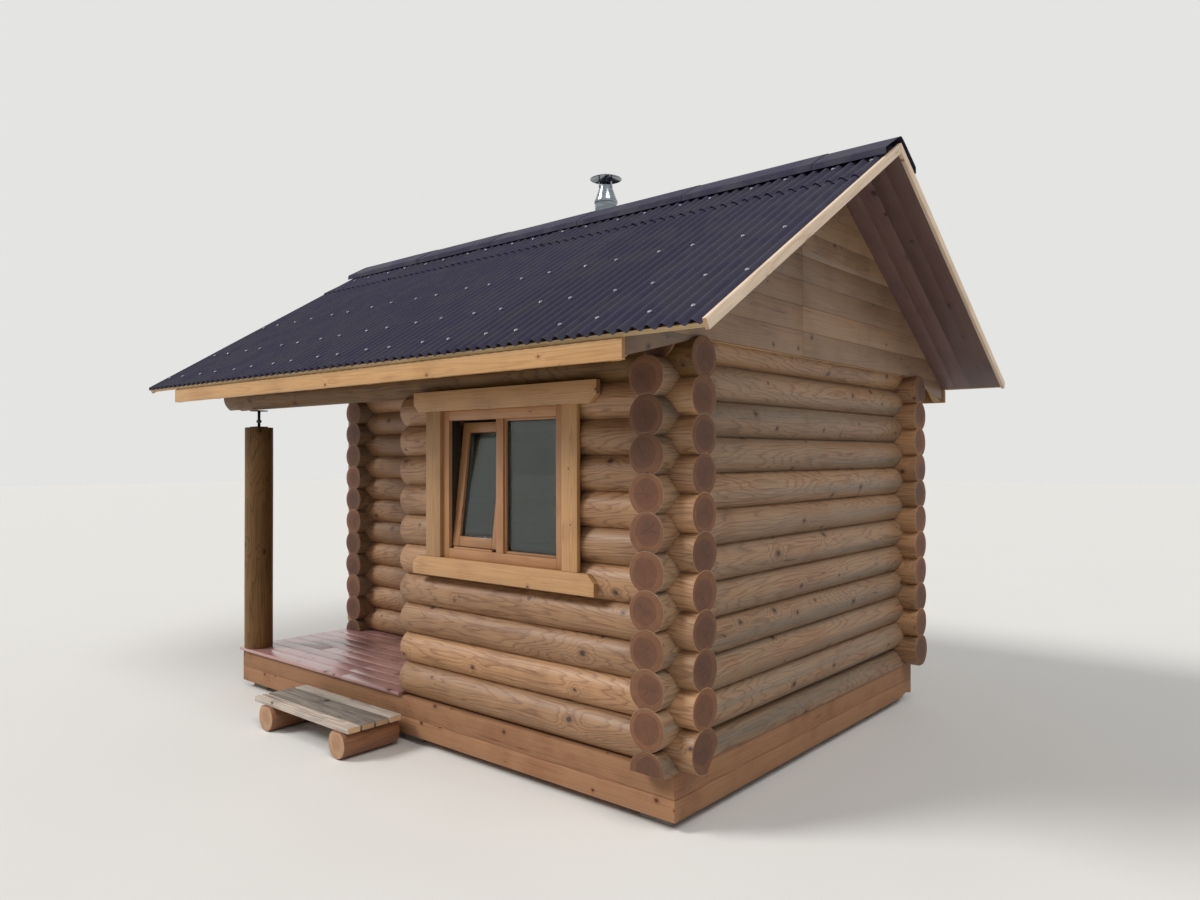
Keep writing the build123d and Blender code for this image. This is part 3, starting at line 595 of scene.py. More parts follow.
def linear(colour: str) -> tuple[float, float, float, float]:
    """An sRGB hex colour as linear red, green, blue and a full alpha."""
    value = np.array([int(colour[i : i + 2], 16) / 255 for i in (1, 3, 5)])
    curve = np.where(value <= 0.04045, value / 12.92, ((value + 0.055) / 1.055) ** 2.4)
    return (*curve.tolist(), 1.0)


def feed(node: bpy.types.Node, inputs: dict[Any, Any] | Sequence[Any]) -> None:
    """Gives a node's inputs their values or links.

    Args:
        node: the node.
        inputs: values or sockets by input name or number, or else in the order of the inputs.
    """
    for key, value in inputs.items() if isinstance(inputs, dict) else enumerate(inputs):
        if isinstance(value, bpy.types.NodeSocket):
            node.id_data.links.new(value, node.inputs[key])
        else:
            node.inputs[key].default_value = value


def add_node(
    tree: bpy.types.NodeTree,
    kind: str,
    inputs: dict[Any, Any] | Sequence[Any] = (),
    output: Any = 0,
    **settings: Any,
) -> Any:
    """Adds a shader node.

    Args:
        tree: the material's tree.
        kind: the node's type without its first word.
        inputs: as in feed.
        output: the output to return, or None for the node itself.
        settings: the node's own settings.

    Returns:
        The chosen output socket, or the node.
    """
    node = tree.nodes.new("ShaderNode" + kind)
    for title, value in settings.items():
        setattr(node, title, value)
    feed(node, inputs)
    return node if output is None else node.outputs[output]


def painted(add: Adder, base: str, layers: Sequence[tuple[Any, str]], light: Any = None) -> Any:
    """Lays colours over a base, one over the other.

    Args:
        add: adds a node to the material.
        base: the colour underneath.
        layers: the share and the colour of each layer.
        light: how light the whole is, or None to leave it.

    Returns:
        The colour's socket.
    """
    colour = linear(base)
    for share, over in layers:
        colour = add("Mix", {0: share, 6: colour, 7: linear(over)}, 2, data_type="RGBA")
    return colour if light is None else add("VectorMath", {0: colour, "Scale": light}, operation="SCALE")


@dataclass(frozen=True)
class Finish:
    """What every finish has: its name and an empty material to start from."""

    title: str

    def start(self) -> tuple[bpy.types.Material, Adder, bpy.types.Node]:
        """A node material, the call that adds a node to it and its surface shader."""
        material = bpy.data.materials.new(self.title)
        material.use_nodes = True
        tree = material.node_tree
        return material, partial(add_node, tree), tree.nodes["Principled BSDF"]

    def material(self) -> bpy.types.Material:
        """Builds the node material."""
        raise NotImplementedError


@dataclass(frozen=True)
class Wood(Finish):
    """Pine or spruce under a translucent stain: growth rings cut by the surface, fibre and knots.

    The rings are the distance from the middle of the tree, which wanders along the log, so
    the saw and the lathe cut them into the flames and ovals that the eye reads as grain. The
    fibre is drawn about 5 mm thick, coarser than real, so that it shows. The waves are how many
    of a noise's waves fit in a metre, twice across the tree and once along it.
    """

    early: str
    late: str
    deep: str
    knot: str
    ring: float = 9 * MM
    ring_strength: float = 0.6
    fibre: float = 0.16
    knots: float = 0.55
    knot_size: float = 24 * MM
    roughness: float = 0.5
    coat: float = 0.1
    bump: float = 0.5 * MM
    grey: str = "#8d8579"
    weather: float = 0.0
    tone_range: float = 0.22
    grain_turn: Triple | None = None
    seam: float = 0.0
    gloss: float = 0.5
    knot_cell: float = 250 * MM
    wander: float = 50 * MM
    ripple: float = 14 * MM
    taper: float = 6 * MM
    swirl: float = 5 * MM
    wander_waves: Triple = (0.5, 0.5, 0.6)
    ripple_waves: Triple = (13, 13, 1.5)
    fibre_waves: Triple = (190, 190, 3.5)
    split_waves: Triple = (34, 34, 0.8)
    patch_waves: float = 4.5

    def coordinates(self, add: Adder) -> tuple[Any, Any, Any]:
        """Where a point lies in the tree and on the surface, and how light its board is.

        They come from the piece's own attributes, or from Object coordinates turned to the grain.
        """
        if self.grain_turn is None:
            ways = [add("Attribute", (), "Vector", attribute_name=title) for title in ("grain", "skin")]
            return (*ways, add("Attribute", (), "Fac", attribute_name="tone"))
        place = add("TexCoord", (), "Object")
        grain = add("Mapping", {"Vector": place, "Rotation": self.grain_turn})
        skin = add("Mapping", {"Vector": grain, "Rotation": (math.pi / 2, 0, 0)})
        return grain, skin, add("TexNoise", {"Vector": place, "Scale": 1.5, "Detail": 0.0})

    def pith_distance(self, add: Adder, grain: Any) -> Any:
        """Distance from the middle of the tree, which wanders, ripples and tapers along the log."""
        slow = add("Mapping", {"Vector": grain, "Scale": self.wander_waves})
        wander = add("TexNoise", {"Vector": slow, "Scale": 1.1, "Detail": 1.0}, "Color")
        wander = add("VectorMath", (wander, (0.5, 0.5, 0.5)), operation="SUBTRACT")
        wander = add("VectorMath", (wander, (self.wander, self.wander, 0)), operation="MULTIPLY")
        across = add("VectorMath", (grain, (1, 1, 0)), operation="MULTIPLY")
        across = add("VectorMath", (across, wander), operation="ADD")
        radius = add("VectorMath", (across,), "Value", operation="LENGTH")
        waved = add("Mapping", {"Vector": grain, "Scale": self.ripple_waves})
        ripple = add("TexNoise", {"Vector": waved, "Scale": 1.0, "Detail": 2.0})
        radius = add("Math", (ripple, self.ripple, radius), operation="MULTIPLY_ADD")
        along = add("SeparateXYZ", (grain,), 2)
        return add("Math", (along, self.taper, radius), operation="MULTIPLY_ADD")

    def knot_places(self, add: Adder, skin: Any) -> tuple[Any, Any]:
        """How many knot radii a point lies from the nearest knot, and whether that knot is there."""
        spots = add("Mapping", {"Vector": skin, "Scale": (1.0, 0.8, 0.0)})
        spots = {"Vector": spots, "Scale": 1 / self.knot_cell}
        cells = add("TexVoronoi", spots, None, voronoi_dimensions="2D")
        pick = add("SeparateColor", (cells.outputs["Color"],), None)
        widest = self.knot_size / self.knot_cell
        size = add("MapRange", (pick.outputs[1], 0, 1, widest * 0.45, widest), **SOFT)
        present = add("Math", (pick.outputs[0], 1 - self.knots), operation="GREATER_THAN")
        return add("Math", (cells.outputs["Distance"], size), operation="DIVIDE"), present

    def splits(self, add: Adder, grain: Any, patch: Any) -> Any:
        """Drying splits along the fibre where a patch is high, and the dark joints of floor boards."""
        way = add("Mapping", {"Vector": grain, "Scale": self.split_waves})
        # A split lies where the noise crosses its middle value.
        split = add("TexNoise", {"Vector": way, "Scale": 1.0, "Detail": 0.0})
        split = add("Math", (split, 0.5), operation="SUBTRACT")
        split = add("Math", (split,), operation="ABSOLUTE")
        split = add("MapRange", (split, 0.002, 0.008, 1, 0), **SOFT)
        rare = add("MapRange", (patch, 0.56, 0.62, 0, 0.75), **SOFT)
        split = add("Math", (split, rare), operation="MULTIPLY")
        if not self.seam:
            return split
        aside = add("SeparateXYZ", (grain,), 1)
        aside = add("Math", (aside, self.seam), operation="PINGPONG")
        joint = add("Math", (aside, 1.5 * MM), operation="LESS_THAN")
        return add("Math", (split, joint), operation="MAXIMUM")

    def material(self) -> bpy.types.Material:
        """Builds the node material."""
        material, add, shader = self.start()
        grain, skin, tone = self.coordinates(add)
        reach, present = self.knot_places(add, skin)
        swirl = add("MapRange", (reach, 0.6, 5.5, self.swirl, 0), **SOFT)
        radius = self.pith_distance(add, grain)
        radius = add("Math", (swirl, present, radius), operation="MULTIPLY_ADD")
        # Each ring darkens over its outer half and ends sharply.
        phase = add("Math", (radius, self.ring), operation="DIVIDE")
        phase = add("Math", (phase,), operation="FRACT")
        rise = add("MapRange", (phase, 0.5, 0.88, 0, 1), **SOFT)
        fall = add("MapRange", (phase, 0.86, 1, 1, 0), **SOFT)
        late = add("Math", (rise, fall), operation="MULTIPLY")
        streaks = add("Mapping", {"Vector": grain, "Scale": self.fibre_waves})
        fibre = add("TexNoise", {"Vector": streaks, "Scale": 1.0, "Detail": 2.0})
        patch = add("TexNoise", {"Vector": grain, "Scale": self.patch_waves, "Detail": 3.0})
        # The rings fade and the stain deepens in patches about a hand wide.
        clear = add("MapRange", (patch, 0.3, 0.65, self.ring_strength * 0.45, self.ring_strength), **SOFT)
        late = add("Math", (late, clear), operation="MULTIPLY")
        layers = [(late, self.late), (add("MapRange", (patch, 0.42, 0.75, 0, 0.55), **SOFT), self.deep)]
        if self.weather > 0:
            # Grey comes in long soft streaks, the more of them the longer the weather.
            broad = add("TexNoise", {"Vector": streaks, "Scale": 0.05, "Detail": 4.0})
            low = 0.7 - self.weather * 0.5
            layers += [(add("MapRange", (broad, low, low + 0.25, 0, self.weather), **SOFT), self.grey)]
        # A halo round each knot, and over it the knot.
        for span, over in (((0.9, 2.4, 0.5, 0), self.late), ((0.55, 1.05, 0.92, 0), self.knot)):
            share = add("MapRange", (reach, *span), **SOFT)
            layers += [(add("Math", (share, present), operation="MULTIPLY"), over)]
        split = self.splits(add, grain, patch)
        layers += [(split, self.knot)]
        light = add("MapRange", (fibre, 0.25, 0.75, 1 - self.fibre, 1.06), **SOFT)
        shade = add("MapRange", (tone, 0, 1, 1 - self.tone_range, 1 + self.tone_range * 0.5), **SOFT)
        light = add("Math", (light, shade), operation="MULTIPLY")
        # Fibre and late wood stand up, splits lie deep.
        relief = add("Math", (fibre, late), operation="ADD")
        relief = add("Math", (split, -2.5, relief), operation="MULTIPLY_ADD")
        rough = (fibre, 0, 1, self.roughness - 0.08, self.roughness + 0.12)
        surface = {
            "Base Color": painted(add, self.early, layers, light),
            "Roughness": add("MapRange", rough, **SOFT),
            "Coat Weight": self.coat,
            "Coat Roughness": 0.3,
            "Specular IOR Level": self.gloss,
            "Normal": add("Bump", {"Height": relief, "Distance": self.bump, "Strength": 0.8}),
        }
        feed(shader, surface)
        return material


@dataclass(frozen=True)
class EndGrain(Finish):
    """A sawn end of a log or board: rings round the heart, a red heartwood and drying cracks."""

    sap: str
    late: str
    heart: str
    crack: str
    ring: float = 5 * MM
    ring_strength: float = 0.42
    heart_radius: float = 68 * MM
    roughness: float = 0.7
    bump: float = 0.5 * MM
    tone_range: float = 0.22
    bend: float = 30 * MM
    crack_reach: float = 85 * MM
    saw_waves: Triple = (30, 420, 4)

    def cracks(self, add: Adder, grain: Any, radius: Any) -> Any:
        """Dark cracks that run out from the heart and close on the way."""
        apart = add("SeparateXYZ", (grain,), None)
        angle = add("Math", (apart.outputs[1], apart.outputs[0]), operation="ARCTAN2")
        round_way = add("CombineXYZ", (angle, apart.outputs[2]))
        # A crack lies where the noise round the heart crosses its middle value.
        ray = add("TexNoise", {"Vector": round_way, "Scale": 3.2, "Detail": 1.0})
        ray = add("Math", (ray, 0.5), operation="SUBTRACT")
        ray = add("Math", (ray,), operation="ABSOLUTE")
        width = add("MapRange", (radius, 0, 0.08, 0.03, 0.002), **SOFT)
        crack = add("Math", (ray, width), operation="LESS_THAN")
        near = add("MapRange", (radius, 0.05, self.crack_reach, 0.6, 0), **SOFT)
        return add("Math", (crack, near), operation="MULTIPLY")

    def material(self) -> bpy.types.Material:
        """Builds the node material on the piece's own grain."""
        material, add, shader = self.start()
        grain = add("Attribute", (), "Vector", attribute_name="grain")
        tone = add("Attribute", (), "Fac", attribute_name="tone")
        bent = add("Mapping", {"Vector": grain, "Scale": (9, 9, 3)})
        bend = add("TexNoise", {"Vector": bent, "Scale": 1.0, "Detail": 2.0})
        across = add("VectorMath", (grain, (1, 1, 0)), operation="MULTIPLY")
        radius = add("VectorMath", (across,), "Value", operation="LENGTH")
        radius = add("Math", (bend, self.bend, radius), operation="MULTIPLY_ADD")
        phase = add("Math", (radius, self.ring), operation="DIVIDE")
        phase = add("Math", (phase,), operation="FRACT")
        late = add("MapRange", (phase, 0.35, 0.95, 0, self.ring_strength), **SOFT)
        # The bend adds about half of itself to every radius.
        edge = self.heart_radius + self.bend / 2
        heart = add("MapRange", (radius, edge - 4 * MM, edge + 4 * MM, 0.75, 0), **SOFT)
        crack = self.cracks(add, grain, radius)
        blot = add("TexNoise", {"Vector": grain, "Scale": 22.0, "Detail": 3.0})
        light = add("MapRange", (blot, 0.25, 0.75, 0.86, 1.06), **SOFT)
        shade = add("MapRange", (tone, 0, 1, 1 - self.tone_range, 1 + self.tone_range * 0.5), **SOFT)
        light = add("Math", (light, shade), operation="MULTIPLY")
        layers = ((heart, self.heart), (late, self.late), (crack, self.crack))
        sawn = add("Mapping", {"Vector": grain, "Scale": self.saw_waves})
        marks = add("TexNoise", {"Vector": sawn, "Scale": 1.0, "Detail": 2.0})
        relief = add("Math", (crack, -2.0, marks), operation="MULTIPLY_ADD")
        surface = {
            "Base Color": painted(add, self.sap, layers, light),
            "Roughness": self.roughness,
            "Normal": add("Bump", {"Height": relief, "Distance": self.bump, "Strength": 0.7}),
        }
        feed(shader, surface)
        return material


@dataclass(frozen=True)
class Mottled(Finish):
    """A surface of two close colours in patches, with a grit of a real size."""

    pale: str
    dark: str
    spot: str
    patch: float = 0.3
    grit: float = 4 * MM
    roughness: float = 0.7
    metallic: float = 0.0
    bump: float = 0.3 * MM
    stretch: Triple = (1.0, 1.0, 1.0)
    tone_range: float = 0.0
    gloss: float = 0.5

    def material(self) -> bpy.types.Material:
        """Builds the node material from Object coordinates."""
        material, add, shader = self.start()
        place = add("TexCoord", (), "Object")
        drawn = add("Mapping", {"Vector": place, "Scale": self.stretch})
        patch = add("TexNoise", {"Vector": drawn, "Scale": 1 / self.patch, "Detail": 4.0})
        patch = add("MapRange", (patch, 0.35, 0.65, 0, 1), **SOFT)
        grit = add("TexNoise", {"Vector": drawn, "Scale": 1 / self.grit, "Detail": 2.0})
        layers = ((patch, self.pale), (add("MapRange", (grit, 0.52, 0.72, 0, 0.5), **SOFT), self.spot))
        shade = None
        if self.tone_range > 0:
            tone = add("Attribute", (), "Fac", attribute_name="tone")
            shade = add("MapRange", (tone, 0, 1, 1 - self.tone_range, 1 + self.tone_range), **SOFT)
        rough = (patch, 0, 1, self.roughness * 0.85, min(self.roughness * 1.15, 1.0))
        surface = {
            "Base Color": painted(add, self.dark, layers, shade),
            "Roughness": add("MapRange", rough, **SOFT),
            "Metallic": self.metallic,
            "Specular IOR Level": self.gloss,
            "Normal": add("Bump", {"Height": grit, "Distance": self.bump, "Strength": 0.6}),
        }
        feed(shader, surface)
        return material


@dataclass(frozen=True)
class Pane(Finish):
    """Clear float glass with the faint green of its iron, coated against glare."""

    colour: str
    polish: float = 0.12

    def material(self) -> bpy.types.Material:
        """Builds the glass, clean with the slightest uneven polish."""
        material, add, shader = self.start()
        haze = add("TexNoise", {"Vector": add("TexCoord", (), "Object"), "Scale": 3.0, "Detail": 2.0})
        surface = {
            "Base Color": linear(self.colour),
            "Roughness": add("MapRange", (haze, 0.3, 0.7, 0, 0.015), **SOFT),
            "Transmission Weight": 1.0,
            "IOR": 1.5,
            "Specular IOR Level": self.polish,
        }
        feed(shader, surface)
        return material


# Turned pine logs under a translucent brown stain: flame grain with a satin sheen.
LOG_WOOD = Wood(
    "stained_pine_log", "#b18760", "#764a2c", "#966b49", "#38241a", 2.6 * MM, 0.8,
    fibre=0.3, knots=0.5, knot_size=19 * MM, coat=0.12,
)
# The same on the walls under the gables, greyer and duller: weathered, and greyed further to paint the cool
# sky light on those sides.
WEATHERED_SKY_LIT_LOG_WOOD = replace(
    LOG_WOOD, title="greyed_pine_log", early="#9c7d60", late="#684a36", weather=0.6, grey="#787063", gloss=0.3
)
# The step's logs: redder and plainer.
STEP_LOG_WOOD = replace(
    LOG_WOOD, title="reddish_step_log", early="#9d6a48", late="#7b4a2f", deep="#8a5638", ring_strength=0.5
)
# The post and the log on it: a darker, duller brown that paints the shade of the porch roof on them.
SHADE_PAINTED_POST_WOOD = replace(
    LOG_WOOD, title="dark_stained_post", early="#7d5b34", late="#4e331b", deep="#664727", coat=0.0, gloss=0.25
)
# Their sawn ends drink more stain: a red heart, a paler rim, dark cracks and rings drawn 10 mm wide to show.
LOG_END = EndGrain(
    "stained_pine_log_end", "#7c5236", "#4a2e1e", "#623d2a", "#2b1c15", 10 * MM, 0.55, heart_radius=76 * MM
)
# Planed squared beams, redder and calmer than the logs, with no sheen.
BASE_WOOD = Wood(
    "stained_planed_beam", "#a37a5b", "#7c5238", "#8e6248", "#4a2c1e", 7 * MM, 0.5,
    knots=0.4, knot_size=12 * MM, roughness=0.6, coat=0.0, tone_range=0.08, gloss=0.15,
)
# Decking oil: a red brown with a wet gloss that takes the sky; the colour is lightened towards lilac pink to
# paint the sky's reflection as well.
DECK_WOOD = Wood(
    "oiled_decking", "#b48885", "#865d5b", "#9d716e", "#442b29", 7 * MM, knots=0.4, roughness=0.3, coat=0.9
)
# Planed pine boards round the openings, yellower than the logs.
TRIM_WOOD = Wood(
    "stained_pine_board", "#bb9062", "#916740", "#a67c50", "#4a2f1e", 7 * MM, 0.5,
    knots=0.6, knot_size=10 * MM, coat=0.12,
)
# Knot-free joinery timber with a sprayed stain, redder and smoother.
WINDOW_WOOD = Wood(
    "stained_joinery_pine", "#b07f53", "#8c5a34", "#9f6b43", "#5a3018", 6 * MM, 0.4,
    knots=0.06, roughness=0.42, coat=0.25,
)
# Gable boards that have begun to grey.
CLADDING_WOOD = Wood(
    "stained_gable_board", "#8c6d51", "#624733", "#755740", "#33221a", 7 * MM, 0.55,
    knots=0.5, knot_size=13 * MM, grey="#998c80", weather=0.4,
)
# Smooth dark boards under the overhang.
SOFFIT_WOOD = Wood("dark_stained_soffit", "#6e534f", "#523c3a", "#5e4542", "#2e1c18", 8 * MM, 0.4, knots=0.2)
# Untreated pine along the verges: pale, knotty and matt, silvering with the weather.
VERGE_WOOD = Wood(
    "pale_planed_pine", "#ecd5bc", "#c7a98f", "#dabfa4", "#7e6049", 7 * MM, 0.5,
    knots=0.7, knot_size=11 * MM, roughness=0.62, coat=0.0, weather=0.3, grey="#b3a798",
)
# Eave board with a yellow stain.
FASCIA_WOOD = Wood(
    "yellow_stained_board", "#c19562", "#9d7043", "#b0814e", "#64401f", 7 * MM, 0.5,
    knots=0.6, knot_size=11 * MM, coat=0.08,
)
# Step boards left to the weather: grey fibre, splits and an uneven tone from board to board.
WEATHERED_WOOD = Wood(
    "weathered_board", "#d2c3b5", "#716257", "#a0948c", "#33291f", 8 * MM, 1.0, fibre=0.42,
    knots=0.3, roughness=0.75, coat=0.0, bump=0.9 * MM, grey="#9a938a", weather=0.7, tone_range=0.5,
)
# Rough-sawn spruce that runs along the building.
SAWN_ALONG = Wood(
    "sawn_spruce_along", "#cdb083", "#a9875a", "#b8986a", "#6b4b2e",
    knots=0.4, roughness=0.75, coat=0.0, grain_turn=(0, math.pi / 2, 0),
)
# The same across the building.
SAWN_ACROSS = replace(SAWN_ALONG, title="sawn_spruce_across", grain_turn=(-math.pi / 2, 0, 0))
# Tongued floor boards of the same wood, planed, with a dark joint every 120 mm.
FLOOR_WOOD = replace(SAWN_ALONG, title="spruce_floor_board", roughness=0.6, seam=60 * MM)
# Stained ends of the boards and beams.
BOARD_END = EndGrain("stained_board_end", "#a97c55", "#80573a", "#9a6c49", "#4a3020", 4 * MM)
# Bare pale ends of the verge and step boards.
PALE_END = EndGrain("pale_board_end", "#c9a780", "#a27d56", "#bd9a72", "#5c4128", 4 * MM)
# Fresh pinkish ends of the two step logs.
LEG_END = EndGrain("step_leg_end", "#c9a07e", "#a27556", "#bf9370", "#5c4128", 6 * MM, heart_radius=50 * MM)
# Bitumen-soaked fibre sheet, dyed plum: matt, with a felt grit drawn at 7 mm so that it shows.
BITUMEN = Mottled(
    "corrugated_bitumen", "#2f2c42", "#222032", "#3b3750", 0.22, 7 * MM, 0.74,
    bump=0.5 * MM, tone_range=0.08, gloss=0.3,
)
# Moulded plastic nail caps: smooth, catching the sky, their dark plum paled to a grey lilac that paints their
# glint.
NAIL_CAP = Mottled("moulded_nail_cap", "#8b8694", "#7a7584", "#9c97a4", 0.02, roughness=0.2, bump=0.05 * MM)
# Cast concrete pads: grey and pitted.
CONCRETE = Mottled("cast_concrete", "#8f8b84", "#75716a", "#a8a49c", 0.08, roughness=0.9, bump=0.8 * MM)
# Polished stainless sheet: bright, with faint marks round the pipe; its colour is darkened and blued to paint
# the darker surroundings that it mirrors.
STAINLESS = Mottled(
    "polished_stainless", "#8e959c", "#757d86", "#a3a9ae", 0.12, 2 * MM, 0.2, 1.0, 0.03 * MM, (1.0, 1.0, 6.0)
)
# Zinc-plated steel gone dull and dark.
DARK_STEEL = Mottled("plated_steel", "#55534f", "#3b3936", "#6b6761", 0.03, 1.5 * MM, 0.42, 0.9, 0.05 * MM)
# Coil-coated sheet, dark and even.
FLASHING = Mottled("painted_flashing", "#3f3843", "#352f39", "#4a424e", 0.1, roughness=0.45, bump=0.08 * MM)
# Anodised aluminium spacer bar between the panes.
SPACER = Mottled("anodised_spacer", "#9ea3a4", "#878c8e", "#b4b8b9", 0.02, 1 * MM, 0.4, 0.8, 0.02 * MM)
# Black rubber strip that seats the panes.
GASKET = Mottled("rubber_gasket", "#1d1d1c", "#141414", "#262625", 0.02, roughness=0.6, bump=0.05 * MM)
# Clear float glass.
GLASS = Pane("clear_float_glass", "#b9c4bd")
# Matt pale studio floor.
FLOOR = Mottled("pale_floor", "#dfdfdd", "#dededc", "#e0e0de", 1.5, 5 * MM, 0.9, bump=0.0)


@dataclass
class Palette:
    """Builds each finish once and hands it out."""

    made: dict[str, bpy.types.Material] = field(default_factory=dict)

    def of(self, *finishes: Finish) -> tuple[bpy.types.Material, ...]:
        """The materials of some finishes."""
        for finish in finishes:
            if finish.title not in self.made:
                self.made[finish.title] = finish.material()
        return tuple(self.made[finish.title] for finish in finishes)


@dataclass
class Assembly:
    """What each sub-assembly works with: the frame's nodes, the materials and its own chance.

    The edge is the radius that most of its pieces' corners are rounded by.
    """

    nodes: dict[str, bpy.types.Object]
    palette: Palette
    seed: int
    edge: float = 3 * MM

    def __post_init__(self) -> None:
        """Seeds the chance, so that each run gives the same piece."""
        self.random = np.random.default_rng(self.seed)

    def solids(self, node: str) -> list[Box]:
        """The boxes of a node's solids."""
        return solids_of(self.nodes[node])

    def straight(self, shell: Shell, box: Box, edge: float, tone: float | None = None) -> None:
        """A board that fills a box, along its longest side.

        Args:
            shell: the piece that it goes into.
            box: the board's box.
            edge: the radius of its corners.
            tone: as in sweep.
        """
        way = tuple(Along)[int(np.argmax(box.size))]
        place = Place.through(way, box)
        size = [abs(box.size @ side) for side in (place.width, place.height)]
        shell.board(place, size, box.low[way.axis], box.high[way.axis], self.random, edge, tone)


@dataclass
class BaseFrame(Assembly):
    """Two rings of squared beams with mitred corners, the lower one split at its far right corner."""

    thickness: float = 145 * MM
    edge: float = 4 * MM
    stations: int = 12
    split_length: float = 170 * MM
    split_height: float = 45 * MM
    split_depth: float = 60 * MM

    def beam(self, shell: Shell, box: Box, lower: bool) -> None:
        """One beam between its two mitres, which lean by one width in a width.

        Args:
            shell: the ring that it goes into.
            box: the beam's box.
            lower: whether that is the lower ring.
        """
        way = Along.X if box.size[0] > box.size[1] else Along.Y
        outer = math.copysign(1, box.middle[1 - way.axis])
        lean = -outer if way is Along.X else outer
        reach = box.high[way.axis] - self.thickness / 2
        x, y = self.thickness / 2, box.size[2] / 2 - FIT
        stations = np.linspace(0, 1, self.stations)
        lift = np.zeros(self.stations)
        if lower and way is Along.Y and outer > 0:
            share = 1 - self.split_length / (2 * reach)
            stations = np.unique(np.concatenate((stations, (share, share + (1 - share) / 2))))
            lift = np.clip((stations - share) / (1 - share), 0, 1) * self.split_height
        chip = [((-x, rise - y), (self.split_depth - x, -y), (x, -y), (x, y), (-x, y)) for rise in lift]
        shapes = np.stack([rounded_polygon(corners, self.edge) for corners in chip])
        ends = Ends(Cut(-reach, lean), Cut(reach, -lean), 1.5 * MM)
        pith = (self.random.uniform(-0.05, 0.05), 0.09)
        shell.sweep(Place.through(way, box), shapes, ends, stations, self.random, pith)

    def build(self) -> None:
        """Builds both rings."""
        for node, title in (("lower_base_beams", "lower_beam_ring"), ("upper_base_beams", "upper_beam_ring")):
            shell = Shell(title)
            for box in self.solids(node):
                self.beam(shell, box, node == "lower_base_beams")
            shell.build("base_wood", self.palette.of(BASE_WOOD, BOARD_END), node)


